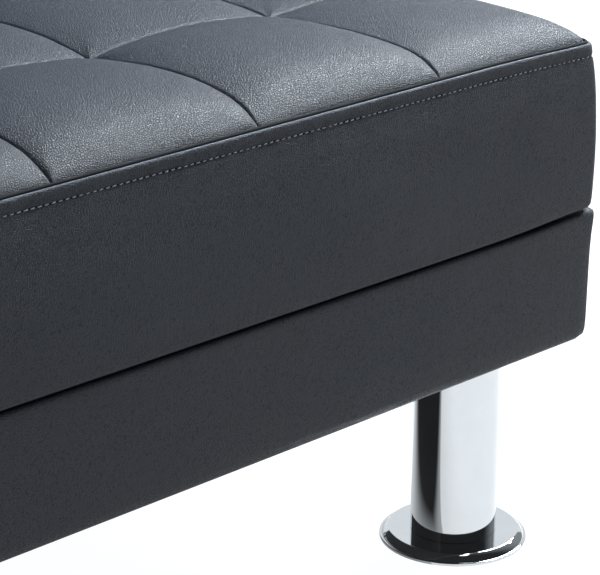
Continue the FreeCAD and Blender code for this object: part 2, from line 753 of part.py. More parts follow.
def hinge_plate(name, way, x):
    """An L-shaped plate in the YZ plane, about the hinge axis: an eye, a stem and a bar along the rail.
    way is -1 for the bar that runs forward along the seat and 1 for the one along the back."""
    body = new_body(name)
    outline = new_sketch(body, "YZ_Plane", f"{name}_outline")
    near = far = size("stem_half_width")
    if way > 0:
        near, far = size("back_stem_front"), size("back_stem_rear")
    bar, raised = size("foot_bar_height"), bar_level(way)
    polygon(outline, [
        (-way * near, 0), (-way * near, raised), (way * size("foot_bar_length"), raised),
        (way * size("foot_bar_length"), raised + bar), (way * far, raised + bar), (way * far, 0),
    ])
    pad(body, outline, size("plate_thickness"), f"{name}_bar")
    eye = new_sketch(body, "YZ_Plane", f"{name}_eye")
    circle(eye, 0, 0, size("eye_diameter") / 2)
    doc.recompute()
    pad(body, eye, size("plate_thickness"), f"{name}_eye_pad")
    holes = new_sketch(body, "YZ_Plane", f"{name}_holes")
    circle(holes, 0, 0, size("bolt_diameter") / 2 + size("fit_clearance"))
    for y in screw_places():
        circle(holes, way * y, raised + bar / 2, size("screw_diameter") / 2 + size("loose_clearance"))
    doc.recompute()
    bore = body.newObject("PartDesign::Pocket", f"{name}_bores")
    bore.Profile = holes
    bore.Reversed = True
    bind(bore, "Length", size("plate_thickness"))
    return body


def bar_level(way):
    """Underside of a hinge plate's bar, from the hinge axis."""
    return (size("rear_panel_thickness") if way > 0 else as_dim(0)) - BELOW_PIVOT


def screw_places():
    """Distances of the two rail screws from the hinge axis."""
    return (size("crease_clearance") + BOXING + 12, size("foot_bar_length") - 12)


def ratchet_sector(x):
    """Saw teeth round the lower front of the back plate's eye, drawn with the back flat."""
    tip = size("sector_radius").value
    root = tip - size("tooth_depth").value
    teeth = count("teeth")
    start = math.radians(size("sector_start").value)
    step = math.radians(size("sector_sweep").value) / teeth
    points = [FreeCAD.Vector(0, 0, 0)]
    for i in range(teeth):
        for radius, angle in ((root, start + i * step), (tip, start + (i + 0.75) * step)):
            points.append(FreeCAD.Vector(0, radius * math.cos(angle), radius * math.sin(angle)))
    last = start + teeth * step
    points.append(FreeCAD.Vector(0, root * math.cos(last), root * math.sin(last)))
    points.append(points[0])
    face = Part.Face(Part.makePolygon(points))
    shape = face.extrude(FreeCAD.Vector(size("plate_thickness").value, 0, 0))
    bolt = Part.makeCylinder(
        (size("bolt_diameter") / 2 + size("fit_clearance")).value, size("plate_thickness").value,
        FreeCAD.Vector(0, 0, 0), FreeCAD.Vector(1, 0, 0),
    )
    made = doc.addObject("Part::Feature", "ratchet_teeth")
    made.Shape = shape.cut(bolt)
    return place(made, x, 0, 0, tilted=True)


def pawl_pin_point():
    return PIVOT_Y - size("pawl_pivot_forward"), PIVOT_Z - size("pawl_pivot_drop")


def pawl_tail_point():
    y, z = pawl_pin_point()
    return y - size("pawl_tail"), z


def spring_post_point():
    y, z = pawl_tail_point()
    below = size("pawl_arm_width") / 2 + size("pawl_spring_length") + size("spring_post_diameter")
    return y, z - below


def seat_plates():
    """The seat plate with the pin the pawl turns on and the post that holds its spring."""
    plate = place(hinge_plate("seat_plate", -1, SEAT_PLATE_X), SEAT_PLATE_X, PIVOT_Y, PIVOT_Z)
    y, z = pawl_pin_point()
    y_low, z_high = spring_post_point()
    web = new_body("seat_plate_web")
    sk = new_sketch(web, "YZ_Plane", "seat_plate_web_outline")
    reach = size("pawl_pivot_forward") + size("pawl_tail") + 8
    rise = -(size("pawl_pivot_drop") - 10)
    polygon(sk, [
        (0, rise), (-reach, rise), (-reach, -BELOW_PIVOT + 1), (0, -BELOW_PIVOT + 1)])
    pad(web, sk, size("plate_thickness"), "seat_plate_web_pad")
    place(web, SEAT_PLATE_X, PIVOT_Y, PIVOT_Z)
    screw = cylinder_x("web_screw_hole", size("screw_diameter") / 2 + size("loose_clearance"),
                       (SEAT_PLATE_X, SEAT_PLATE_X + size("plate_thickness")),
                       PIVOT_Y - screw_places()[0], SLAB_BOTTOM + size("foot_bar_height") / 2)
    inward = (BACK_PLATE_X - size("plate_spacing") / 2, SEAT_PLATE_X + size("plate_thickness") / 2)
    pin = cylinder_x("pawl_pin", size("pawl_pin_diameter") / 2, inward, y, z)
    post = cylinder_x("spring_post", size("spring_post_diameter") / 2, inward, y_low, z_high)
    right = fuse("seat_plate_whole", plate, cut("seat_plate_web_cut", web, screw), pin, post)
    keep("hinge_seat_plates", pair("seat_plate_pair", right))


def back_plates():
    plate = place(hinge_plate("back_plate", 1, BACK_PLATE_X), BACK_PLATE_X, 0, 0, tilted=True)
    right = fuse("back_plate_whole", plate, ratchet_sector(BACK_PLATE_X))
    keep("hinge_back_plates", pair("back_plate_pair", right))


def base_brackets():
    """A plate on the inner face of the end board whose stem carries the hinge bolt."""
    body = new_body("base_bracket")
    outline = new_sketch(body, "YZ_Plane", "base_bracket_outline")
    half, wide = size("stem_half_width"), size("bracket_width") / 2
    base_top = BASE_TOP - PIVOT_Z - 4
    low = base_top + 4 - size("bracket_drop")
    polygon(outline, [
        (-half, 0), (-half, base_top), (-wide, base_top), (-wide, low), (wide, low),
        (wide, base_top), (half, base_top), (half, 0),
    ])
    pad(body, outline, size("plate_thickness"), "base_bracket_plate")
    eye = new_sketch(body, "YZ_Plane", "base_bracket_eye")
    circle(eye, 0, 0, size("eye_diameter") / 2)
    doc.recompute()
    pad(body, eye, size("plate_thickness"), "base_bracket_eye_pad")
    holes = new_sketch(body, "YZ_Plane", "base_bracket_holes")
    circle(holes, 0, 0, size("bolt_diameter") / 2 + size("fit_clearance"))
    for y, z in bracket_screws():
        circle(holes, y, z, size("screw_diameter") / 2 + size("loose_clearance"))
    doc.recompute()
    bore = body.newObject("PartDesign::Pocket", "base_bracket_bores")
    bore.Profile = holes
    bore.Reversed = True
    bind(bore, "Length", size("plate_thickness"))
    place(body, BRACKET_X, PIVOT_Y, PIVOT_Z)
    keep("hinge_base_brackets", pair("base_bracket_pair", body))


def bracket_screws():
    """Places of the bracket's four screws, from the hinge axis."""
    level = BASE_TOP - PIVOT_Z
    for y in (10 - size("bracket_width") / 2, size("bracket_width") / 2 - 10):
        for z in (level - 16, level + 12 - size("bracket_drop")):
            yield y, z


def wood_screw(name, x, y, z, way):
    """A pan-head screw along X. way is the side of the plate face at x that its shank goes to."""
    head = (x, x + size("screw_head_height")) if way < 0 else (x - size("screw_head_height"), x)
    shank_end = size("screw_length") + size("plate_thickness")
    shank = (x - shank_end, x) if way < 0 else (x, x + shank_end)
    return fuse(name,
                cylinder_x(f"{name}_head", size("screw_head_diameter") / 2, head, y, z),
                cylinder_x(f"{name}_shank", size("screw_diameter") / 2, shank, y, z))


def hinge_fasteners():
    bolt = size("bolt_diameter") / 2
    head = (BOLT_HEAD_X, BOLT_HEAD_X + size("bolt_head_height"))
    shank = (BRACKET_X - size("nut_height"), BOLT_HEAD_X)
    right = fuse("hinge_bolt",
                 cylinder_x("hinge_bolt_head", size("bolt_head_diameter") / 2, head, PIVOT_Y, PIVOT_Z),
                 cylinder_x("hinge_bolt_shank", bolt, shank, PIVOT_Y, PIVOT_Z))
    keep("hinge_bolts", pair("hinge_bolt_pair", right))
    nut = doc.addObject("Part::Prism", "hinge_nut_prism")
    nut.Polygon = 6
    nut.Placement = FreeCAD.Placement(FreeCAD.Vector(), FreeCAD.Rotation(FreeCAD.Vector(0, 1, 0), 90))
    bind(nut, "Circumradius", size("nut_flats") / 2 / cosine(Dim(30, "30")))
    bind(nut, "Height", size("nut_height"))
    place(nut, BRACKET_X - size("nut_height"), PIVOT_Y, PIVOT_Z)
    nut_span = (BRACKET_X - size("nut_height"), BRACKET_X)
    threaded = cut("hinge_nut", nut, cylinder_x("hinge_nut_bore", bolt, nut_span, PIVOT_Y, PIVOT_Z))
    keep("hinge_lock_nuts", pair("hinge_nut_pair", threaded))
    rings = []
    for i, x in enumerate((BOARD_INNER, SEAT_PLATE_X - size("plate_spacing"))):
        span = (x, x + size("plate_spacing"))
        rings.append(cut(f"washer_{i + 1}",
                         cylinder_x(f"washer_{i + 1}_disc", size("eye_diameter") / 2 - 1, span, PIVOT_Y, PIVOT_Z),
                         cylinder_x(f"washer_{i + 1}_hole", bolt + size("fit_clearance"), span, PIVOT_Y, PIVOT_Z)))
    mirrors = [mirrored(f"washer_{i + 1}_mirror", ring) for i, ring in enumerate(rings)]
    keep("hinge_washers", group("washers", rings + mirrors))


def hinge_screws():
    bar = size("foot_bar_height") / 2
    z = SLAB_BOTTOM + bar
    seat = [wood_screw(f"seat_screw_{i}", BOLT_HEAD_X, PIVOT_Y - y, z, -1)
            for i, y in enumerate(screw_places(), start=1)]
    keep("hinge_screws_seat", group("seat_screws", seat + [
        mirrored(f"{s.Name}_mirror", s) for s in seat]))
    base = [wood_screw(f"base_screw_{i}", BRACKET_X, PIVOT_Y + y, PIVOT_Z + z, 1)
            for i, (y, z) in enumerate(bracket_screws(), start=1)]
    keep("hinge_screws_base", group("base_screws", base + [
        mirrored(f"{s.Name}_mirror", s) for s in base]))
    back = []
    level = size("rear_panel_thickness") + bar - BELOW_PIVOT
    for i, y in enumerate(screw_places(), start=1):
        z_back = PIVOT_Z + y * sine(BACK_ANGLE) + level * cosine(BACK_ANGLE)
        y_back = PIVOT_Y + y * cosine(BACK_ANGLE) - level * sine(BACK_ANGLE)
        back.append(wood_screw(f"back_screw_{i}", BACK_PLATE_X + size("plate_thickness"), y_back, z_back, -1))
    keep("hinge_screws_back", group("back_screws", back + [
        mirrored(f"{s.Name}_mirror", s) for s in back]))


def pawls():
    """The pawl that drops behind a ratchet tooth, drawn lifted clear of the tooth tips, and its spring."""
    reach = size("sector_radius") + size("pawl_gap")
    nose_y = reach * cosine(size("pawl_angle")) + size("pawl_pivot_forward")
    nose_z = reach * sine(size("pawl_angle")) + size("pawl_pivot_drop")
    half, tail = size("pawl_arm_width") / 2, size("pawl_tail")
    body = new_body("pawl_arm")
    sk = new_sketch(body, "YZ_Plane", "pawl_outline")
    polygon(sk, [
        (nose_y, nose_z), (nose_y - 9, nose_z - 1), (-tail - half, half), (-tail - half, -half),
        (0, -half), (nose_y - 2, nose_z - half - 3),
    ])
    pad(body, sk, size("plate_thickness"), "pawl_arm_pad")
    hub = new_sketch(body, "YZ_Plane", "pawl_hub")
    circle(hub, 0, 0, size("pawl_hub_diameter") / 2)
    doc.recompute()
    pad(body, hub, size("plate_thickness"), "pawl_hub_pad")
    hole = new_sketch(body, "YZ_Plane", "pawl_hole")
    circle(hole, 0, 0, size("pawl_pin_diameter") / 2 + size("fit_clearance"))
    doc.recompute()
    bore = body.newObject("PartDesign::Pocket", "pawl_bore")
    bore.Profile = hole
    bore.Reversed = True
    bind(bore, "Length", size("plate_thickness"))
    y, z = pawl_pin_point()
    right = place(body, BACK_PLATE_X, y, z)
    keep("hinge_pawl_right", right)
    keep("hinge_pawl_left", mirrored("pawl_mirror", right))
    spring = pawl_spring()
    keep("pawl_spring_right", spring)
    keep("pawl_spring_left", mirrored("pawl_spring_mirror", spring))


def pawl_spring():
    """A close-wound return spring between the pawl's tail and its post."""
    y, z = pawl_tail_point()
    length, wire = size("pawl_spring_length").value, size("pawl_spring_wire").value
    radius = size("pawl_spring_diameter").value / 2 - wire / 2
    clear = size("loose_clearance").value
    turns = count("pawl_spring_turns")
    pitch = (length - wire - 2 * clear) / turns
    helix = Part.makeHelix(pitch, pitch * turns, radius)
    section = Part.Wire(Part.Circle(FreeCAD.Vector(radius, 0, 0), FreeCAD.Vector(0, 1, 0), wire / 2).toShape())
    made = doc.addObject("Part::Feature", "pawl_spring_coil")
    made.Shape = Part.Wire(helix).makePipeShell([section], True, True)
    low = z - size("pawl_arm_width") / 2 - size("pawl_spring_length") + size("pawl_spring_wire") / 2
    x = BACK_PLATE_X + size("plate_thickness") / 2
    return place(made, x, y, low + size("loose_clearance"))


def check_and_export():
    """Stops on any failed object or sub-part, then writes one STEP file for each sub-part."""
    doc.recompute()
    bad = [o.Name for o in doc.Objects if {"Invalid", "Error"} & set(o.State)]
    if bad:
        sys.exit(f"failed objects: {bad}")
    for obj in SUBPARTS:
        shape = obj.Shape
        if shape.isNull() or not shape.isValid() or not shape.Solids or shape.Volume <= 0:
            sys.exit(f"{obj.Label} has no valid solid")
    os.makedirs("parts", exist_ok=True)
    for old in os.listdir("parts"):
        if old.endswith(".step"):
            os.remove(os.path.join("parts", old))
    for obj in SUBPARTS:
        obj.Shape.exportStep(os.path.join("parts", obj.Label + ".step"))
    print(f"{len(SUBPARTS)} sub-parts written")


def build():
    slab("seat", FRONT, FRONT + SEAT_DEPTH, SEAT_PLATE_X, SEAM_LEVEL, False)
    slab("back", size("crease_clearance"), BACK_REACH, BACK_PLATE_X, size("hinge_drop"), True)
    rear_panel()
    base_frame()
    base_skin()
    legs()
    seat_plates()
    back_plates()
    base_brackets()
    hinge_fasteners()
    hinge_screws()
    pawls()
    check_and_export()


build()
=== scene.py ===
"""Looks of a click-clack futon sofa bed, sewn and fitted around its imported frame.

Each slab of the sofa is built lying flat, in metres from the hinge axis, and then turned into place. Y runs
from the crease towards the front of the seat (negative) or the top of the back (positive).
"""

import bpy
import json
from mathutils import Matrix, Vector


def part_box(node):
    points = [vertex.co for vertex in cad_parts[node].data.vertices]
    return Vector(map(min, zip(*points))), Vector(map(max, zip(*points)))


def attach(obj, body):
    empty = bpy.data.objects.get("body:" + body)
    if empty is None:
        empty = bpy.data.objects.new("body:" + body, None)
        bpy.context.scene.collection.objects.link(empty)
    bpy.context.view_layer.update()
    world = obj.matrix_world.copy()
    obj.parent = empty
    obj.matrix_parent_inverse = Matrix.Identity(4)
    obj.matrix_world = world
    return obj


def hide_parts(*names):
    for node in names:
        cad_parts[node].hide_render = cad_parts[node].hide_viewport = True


bl_info = {
    "name": "Click-clack futon looks",
    "version": (1, 0, 0),
    "blender": (4, 5, 0),
    "location": "View3D > Sidebar > Futon",
    "description": "Sews the covers, turns the legs and finishes the frame of a click-clack futon",
    "category": "Add Mesh",
}

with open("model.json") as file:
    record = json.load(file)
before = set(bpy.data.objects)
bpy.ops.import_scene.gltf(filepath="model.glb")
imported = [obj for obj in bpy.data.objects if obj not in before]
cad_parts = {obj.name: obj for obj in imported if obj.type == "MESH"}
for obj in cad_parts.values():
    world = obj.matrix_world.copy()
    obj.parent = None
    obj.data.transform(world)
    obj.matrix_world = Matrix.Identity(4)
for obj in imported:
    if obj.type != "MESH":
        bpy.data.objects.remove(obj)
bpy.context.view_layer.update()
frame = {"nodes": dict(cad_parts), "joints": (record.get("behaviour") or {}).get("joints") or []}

import json
import math

import bpy
import numpy as np
from bpy.props import FloatProperty, FloatVectorProperty, IntProperty, PointerProperty
from mathutils import Matrix, Vector, noise

MM = 0.001
NODES = frame["nodes"]

RECLINE = next(j for j in frame["joints"] if j["name"] == "back_recline")
HINGE = Vector(RECLINE["pos_m"])
BACK_ANGLE = math.radians(RECLINE["range_deg"][1])
SEAT_PLACE = Matrix.Translation(HINGE)
BACK_PLACE = SEAT_PLACE @ Matrix.Rotation(BACK_ANGLE, 4, "X")
STAND = Matrix.Identity(4)
SEAM_LIFT = 4 * MM  # edge seam above the top of the side bands' CAD
LEGS = ("front_left", "front_right", "rear_left", "rear_right")
BAND_DROP = 119     # millimetres from the edge seam to the bottom of a side band


# ------------------------------------------------------------------ settings


class FutonCover(bpy.types.PropertyGroup):
    """Sizes of the sewn covers"""

    columns: IntProperty(name="Columns", description="Biscuits along the sofa", default=12, min=3)
    end_biscuit: FloatProperty(
        name="End biscuit", description="Width of the first and last biscuit",
        default=0.147, unit="LENGTH")
    seat_rows: IntProperty(name="Seat rows", description="Biscuits from front to crease", default=4, min=1)
    back_rows: IntProperty(name="Back rows", description="Biscuits from crease to top", default=3, min=1)
    dome: FloatProperty(
        name="Dome", description="Rise of a biscuit above its sewn lines",
        default=0.0075, unit="LENGTH")
    valley: FloatProperty(
        name="Valley", description="Rise of the sewn lines above the edge seam",
        default=0.011, unit="LENGTH")
    relief: FloatProperty(
        name="Relief", description="Rise of a sewn line between its crossings",
        default=0.008, unit="LENGTH")
    end_fill: FloatProperty(
        name="End fill", description="Rise of the end biscuits against the others",
        default=0.62, min=0, max=1.2)
    roundness: FloatProperty(
        name="Roundness", description="Power of the dome: higher is flatter on top",
        default=2.1, min=1.5)
    steepness: FloatProperty(
        name="Steepness", description="Power of a biscuit's edge: lower is steeper",
        default=0.82, min=0.3, max=1)
    fullness: FloatProperty(
        name="Fullness", description="How far a biscuit fills its corners", default=3.0, min=0.3, max=6)
    crease_depth: FloatProperty(
        name="Crease depth", description="Nip of the thread on a sewn line",
        default=0.0012, unit="LENGTH")
    crease_width: FloatProperty(
        name="Crease width", description="Half-width of that nip", default=0.0009, unit="LENGTH")
    corner: FloatProperty(
        name="Corner", description="Corner radius at the edge seam", default=0.010, unit="LENGTH")
    side_corner: FloatProperty(
        name="Side corner", description="Corner radius lower down the side band",
        default=0.006, unit="LENGTH")
    corner_dip: FloatProperty(
        name="Corner dip", description="How far the edge seam drops at an outer corner", default=0.002,
        unit="LENGTH")
    bottom_lift: FloatProperty(
        name="Bottom lift", description="How far the bottom edge rises at an outer corner",
        default=0.003,
        unit="LENGTH")
    corner_reach: FloatProperty(
        name="Corner reach", description="How far the dip and the lift spread",
        default=0.055, unit="LENGTH")
    stitch_pitch: FloatProperty(
        name="Stitch pitch", description="One top stitch to the next", default=0.0048, unit="LENGTH")
    stitch_length: FloatProperty(
        name="Stitch length", description="Thread showing in a stitch", default=0.0030, unit="LENGTH")
    thread: FloatProperty(
        name="Thread", description="Radius of the top stitching thread", default=0.00037, unit="LENGTH")


class FutonColours(bpy.types.PropertyGroup):
    """Colours of the finishes"""

    leathercloth: FloatVectorProperty(
        name="Leathercloth", description="Charcoal leathercloth", subtype="COLOR", size=3,
        default=(0.0142, 0.0195, 0.0300), min=0, max=1)
    thread: FloatVectorProperty(
        name="Thread", description="Top stitching thread", subtype="COLOR", size=3,
        default=(0.36, 0.385, 0.43), min=0, max=1)
    timber: FloatVectorProperty(
        name="Timber", description="Softwood frame", subtype="COLOR", size=3,
        default=(0.50, 0.33, 0.17), min=0, max=1)
    foam: FloatVectorProperty(
        name="Foam", description="Cushion foam", subtype="COLOR", size=3,
        default=(0.78, 0.70, 0.46), min=0, max=1)


class FutonStage(bpy.types.PropertyGroup):
    """Camera and light"""

    lens: FloatProperty(name="Lens", description="Focal length", default=154.5, subtype="DISTANCE_CAMERA")
    heading: FloatProperty(
        name="Heading", description="Direction of view, from straight at the back towards the right end",
        default=math.radians(44.669), subtype="ANGLE")
    pitch: FloatProperty(
        name="Pitch", description="Tilt of the view below level",
        default=math.radians(19.977), subtype="ANGLE")
    roll: FloatProperty(
        name="Roll", description="Turn of the view about its own direction",
        default=math.radians(0.289),
        subtype="ANGLE")
    reach: FloatVectorProperty(
        name="Reach", description="Camera from the front right corner of the edge seam", size=3,
        default=(-1.2927, -1.0332, 0.4231), subtype="XYZ")


# ---------------------------------------------------------------- mesh making


def extents(node, place):
    """Lowest and highest corner of a CAD node, measured in a slab's own lying-flat position."""
    inverse = np.array(place.inverted())
    count = len(NODES[node].data.vertices)
    points = np.empty(count * 3, np.float32)
    NODES[node].data.vertices.foreach_get("co", points)
    points = points.reshape(-1, 3).astype(float) @ inverse[:3, :3].T + inverse[:3, 3]
    return points.min(0), points.max(0)


def add_mesh(name, points, faces, material, body, place=STAND):
    """Makes a piece that rides on a body, from points in the place's own coordinates."""
    turn = np.array(place)
    points = np.asarray(points, float) @ turn[:3, :3].T + turn[:3, 3]
    mesh = bpy.data.meshes.new(name)
    mesh.from_pydata(points.tolist(), [], [list(f) for f in faces])
    mesh.validate()
    made = bpy.data.objects.new(name, mesh)
    bpy.context.scene.collection.objects.link(made)
    mesh.shade_smooth()
    mesh.materials.append(material)
    if body:
        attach(made, body)
    return made


def wobble(point, scale, seed=0.0):
    """Smooth noise from -1 to 1 whose lumps are about 1/scale metres across."""
    return noise.noise(Vector((point[0] * scale + seed, point[1] * scale - seed, point[2] * scale)))


def grid_faces(rows, length, wrap_rows=False, wrap_length=False):
    """Faces between neighbouring rings of a grid of points, each turned from its own ring to the next."""
    faces = []
    for i in range(rows if wrap_rows else rows - 1):
        here, there = i * length, (i + 1) % rows * length
        for j in range(length if wrap_length else length - 1):
            k = (j + 1) % length
            faces.append((here + j, here + k, there + k, there + j))
    return faces


def rim_indices(rows, columns):
    """Points round the edge of a grid, in order."""
    return ([i * columns for i in range(rows)] + [(rows - 1) * columns + j for j in range(1, columns)]
            + [i * columns + columns - 1 for i in range(rows - 2, -1, -1)]
            + [j for j in range(columns - 2, 0, -1)])


def skirt_faces(rim, start):
    """Faces from a grid's rim down to its copy that begins at start, and the lid that closes it."""
    count = len(rim)
    faces = [(rim[k], start + k, start + (k + 1) % count, rim[(k + 1) % count]) for k in range(count)]
    return faces, tuple(start + k for k in range(count))


def tube_mesh(path, radius, sides=8):
    """Points and faces of a round tube along an open path, closed at both ends."""
    path = np.asarray(path, float)
    along = np.gradient(path, axis=0)
    along /= np.linalg.norm(along, axis=1)[:, None]
    side = np.cross(along, (0.0, 0.0, 1.0))
    side /= np.linalg.norm(side, axis=1)[:, None]
    up = np.cross(side, along)
    angles = np.linspace(0, 2 * math.pi, sides, endpoint=False)
    points = (path[:, None] + radius * (np.cos(angles)[None, :, None] * side[:, None]
                                        + np.sin(angles)[None, :, None] * up[:, None])).reshape(-1, 3)
    faces = grid_faces(len(path), sides, wrap_length=True)
    last = (len(path) - 1) * sides
    faces.append(tuple(range(sides))[::-1])
    faces.append(tuple(range(last, last + sides)))
    return points, faces


def merge(parts):
    """Joins (points, faces) pairs into one."""
    points, faces, start = [], [], 0
    for some_points, some_faces in parts:
        points.append(np.asarray(some_points, float))
        faces += [tuple(start + i for i in face) for face in some_faces]
        start += len(some_points)
    return np.concatenate(points), faces


def outline(corners, radius, offset, spacing, closed, arc=8):
    """Points and outward normals round a right-angled outline whose corners run anticlockwise.
    The number of points is the same for any radius and offset."""
    corners = [np.array(c, float) for c in corners]
    count = len(corners)
    edges = [(corners[(i + 1) % count] - corners[i]) for i in range(count if closed else count - 1)]
    lengths = [np.linalg.norm(e) for e in edges]
    ways = [e / n for e, n in zip(edges, lengths)]
    normals = [np.array((w[1], -w[0])) for w in ways]
    points, outward = [], []
    inner = range(count) if closed else range(1, count - 1)
    turns = {}
    for i in inner:
        before, after = normals[i - 1], normals[i % len(normals)]
        tip = corners[i] + offset * (before + after)
        turns[i] = (tip - radius * (before + after), before, after)

    def straight(start, end, normal, length, both):
        pieces = max(2, round(length / spacing))
        for k in range(0 if both[0] else 1, pieces + (1 if both[1] else 0)):
            points.append(start + (end - start) * k / pieces)
            outward.append(normal)

    def bend(turn):
        centre, before, after = turn
        for k in range(arc + 1):
            angle = math.pi / 2 * k / arc
            way = math.cos(angle) * before + math.sin(angle) * after
            points.append(centre + radius * way)
            outward.append(way)

    for i, (way, normal, length) in enumerate(zip(ways, normals, lengths)):
        first, last = i, (i + 1) % count
        start, end = (turns[tip][0] + radius * normal if tip in turns else corners[tip] + offset * normal
                      for tip in (first, last))
        straight(start, end, normal, length, (first not in turns, last not in turns))
        if last in turns:
            bend(turns[last])
    return np.array(points), np.array(outward)


def sweep(corners, closed, section, spacing, ripple=None):
    """Runs a closed section, a list of (offset, height, corner radius), round an outline."""
    rings, ways = [], None
    for offset, height, radius in section:
        ring, ways = outline(corners, radius, offset, spacing, closed)
        rings.append(np.column_stack([ring, np.full(len(ring), height)]))
    rings = np.array(rings)
    ways = np.column_stack([ways, np.zeros(len(ways))])
    if ripple:
        for i, (offset, height, _) in enumerate(section):
            shift = np.array([ripple(p, offset, height) for p in rings[i]])
            rings[i] += ways * shift[:, None]
    rows, length = rings.shape[:2]
    faces = grid_faces(rows, length, True, closed)
    if not closed:
        faces.append(tuple(i * length for i in range(rows)))
        faces.append(tuple(i * length + length - 1 for i in range(rows))[::-1])
    return rings.reshape(-1, 3), [f[::-1] for f in faces]


def lathe(section, sides=96):
    """Turns a closed section of (radius, height) round Z."""
    section = np.array(section, float)
    angles = np.linspace(0, 2 * math.pi, sides, endpoint=False)
    points = np.array([(r * math.cos(a), r * math.sin(a), h) for r, h in section for a in angles])
    return points, [f[::-1] for f in grid_faces(len(section), sides, True, True)]


def soft_block(corners, low, high, bevel):
    """A plain upholsterer's block with a rounded outline and eased edges, as a capped set of rings."""
    ease = bevel * 0.3
    steps = [(-bevel, low), (-ease, low + ease), (0.0, low + bevel), (0.0, (low + high) / 2),
             (0.0, high - bevel), (-ease, high - ease), (-bevel, high)]
    rings = []
    for offset, height in steps:
        ring, _ = outline(corners, bevel, offset, 30 * MM, True, arc=4)
        rings.append(np.column_stack([ring, np.full(len(ring), height)]))
    length = len(rings[0])
    faces = grid_faces(len(rings), length, wrap_length=True)
    faces.append(tuple(range(length))[::-1])
    top = (len(rings) - 1) * length
    faces.append(tuple(range(top, top + length)))
    return np.concatenate(rings), faces


def rectangle(low, high):
    """Anticlockwise corners of a rectangle in plan."""
    return [(low[0], low[1]), (high[0], low[1]), (high[0], high[1]), (low[0], high[1])]


# ------------------------------------------------------------------ materials


class Nodes:
    """Short-hand for wiring a procedural material."""

    def __init__(self, name):
        self.material = bpy.data.materials.new(name)
        self.material.use_nodes = True
        self.tree = self.material.node_tree
        self.shader = self.tree.nodes["Principled BSDF"]
        self.place = self.add("ShaderNodeTexCoord").outputs["Object"]

    def add(self, kind, **settings):
        node = self.tree.nodes.new(kind)
        for name, value in settings.items():
            setattr(node, name, value)
        return node

    def link(self, output, node, socket):
        self.tree.links.new(output, node.inputs[socket])

    def scaled(self, scale):
        node = self.add("ShaderNodeMapping")
        node.inputs["Scale"].default_value = scale
        self.link(self.place, node, "Vector")
        return node.outputs["Vector"]

    def noise(self, scale, detail=3.0, rough=0.5, vector=None):
        node = self.add("ShaderNodeTexNoise")
        node.inputs["Scale"].default_value = scale
        node.inputs["Detail"].default_value = detail
        node.inputs["Roughness"].default_value = rough
        self.link(vector or self.place, node, "Vector")
        return node.outputs["Fac"]

    def cells(self, scale, feature="F1", vector=None):
        node = self.add("ShaderNodeTexVoronoi", feature=feature)
        node.inputs["Scale"].default_value = scale
        self.link(vector or self.place, node, "Vector")
        return node.outputs["Distance"]

    def maths(self, operation, a, b):
        node = self.add("ShaderNodeMath", operation=operation)
        for socket, value in enumerate((a, b)):
            if isinstance(value, (int, float)):
                node.inputs[socket].default_value = value
            else:
                self.link(value, node, socket)
        return node.outputs[0]

    def span(self, value, low, high, out_low=0.0, out_high=1.0, smooth=False):
        node = self.add("ShaderNodeMapRange")
        if smooth:
            node.interpolation_type = "SMOOTHSTEP"
        self.link(value, node, "Value")
        sockets = ("From Min", "From Max", "To Min", "To Max")
        for socket, number in zip(sockets, (low, high, out_low, out_high)):
            node.inputs[socket].default_value = number
        return node.outputs["Result"]

    def mix(self, factor, a, b):
        node = self.add("ShaderNodeMix", data_type="RGBA")
        self.link(factor, node, 0)
        for socket, colour in ((6, a), (7, b)):
            if isinstance(colour, tuple):
                node.inputs[socket].default_value = (*colour, 1.0)
            else:
                self.link(colour, node, socket)
        return node.outputs[2]

    def bump(self, height, distance, strength):
        node = self.add("ShaderNodeBump")
        node.inputs["Distance"].default_value = distance
        node.inputs["Strength"].default_value = strength
        self.link(height, node, "Height")
        return node.outputs["Normal"]

    def finish(self, **sockets):
        for name, value in sockets.items():
            socket = name.replace("_", " ")
            if isinstance(value, (int, float)):
                self.shader.inputs[socket].default_value = value
            elif isinstance(value, tuple):
                self.shader.inputs[socket].default_value = (*value, 1.0)
            else:
                self.link(value, self.shader, socket)
        return self.material


def shade(colour, factor):
    """A colour made darker or paler."""
    return tuple(min(1.0, c * factor) for c in colour)


def leathercloth(name, colour):
    """Polyurethane leathercloth: pebbles about a millimetre across with fine creases between them."""
    n = Nodes(name)
    bend = n.add("ShaderNodeMix", data_type="VECTOR")
    drift = n.add("ShaderNodeTexNoise")
    drift.inputs["Scale"].default_value = 260
    drift.inputs["Detail"].default_value = 2
    n.link(n.place, drift, "Vector")
    bend.inputs[0].default_value = 0.0012
    n.link(n.scaled((1.0, 1.0, 1.45)), bend, 4)
    n.link(drift.outputs["Color"], bend, 5)
    bent = bend.outputs[1]
    pebble = n.cells(620, "DISTANCE_TO_EDGE", bent)
    pebble_top = n.span(pebble, 0.0, 0.26, smooth=True)
    small = n.span(n.cells(1500, "DISTANCE_TO_EDGE", bent), 0.0, 0.2)
    lumps = n.noise(480, 2.0)
    height = n.maths("ADD", n.maths("MULTIPLY", pebble_top, 0.9), n.maths("MULTIPLY", small, 0.15))
    height = n.maths("ADD", height, n.maths("MULTIPLY", lumps, 0.5))
    cloud = n.noise(5.5, 4.0, 0.6)
    worn = n.mix(n.span(cloud, 0.3, 0.7), shade(colour, 0.92), shade(colour, 1.1))
    # Colour follows the pebbles' height: the creases between them are darkened to half, painted shade in
    # the grain's hollows.
    base = n.mix(pebble_top, shade(colour, 0.5), worn)
    # The point attribute read here lifts the colour 3.4 times along the fold of the side band's edge seam:
    # a painted highlight.
    painted_fold_highlight = n.add("ShaderNodeAttribute", attribute_name="fold_highlight").outputs["Fac"]
    base = n.mix(painted_fold_highlight, base, shade(colour, 3.4))
    gloss = n.maths("ADD", n.span(pebble_top, 0.0, 1.0, 0.58, 0.36),
                    n.span(cloud, 0.3, 0.7, -0.03, 0.03))
    return n.finish(Base_Color=base, Roughness=gloss, Normal=n.bump(height, 0.00028, 0.9),
                    Specular_IOR_Level=0.26)


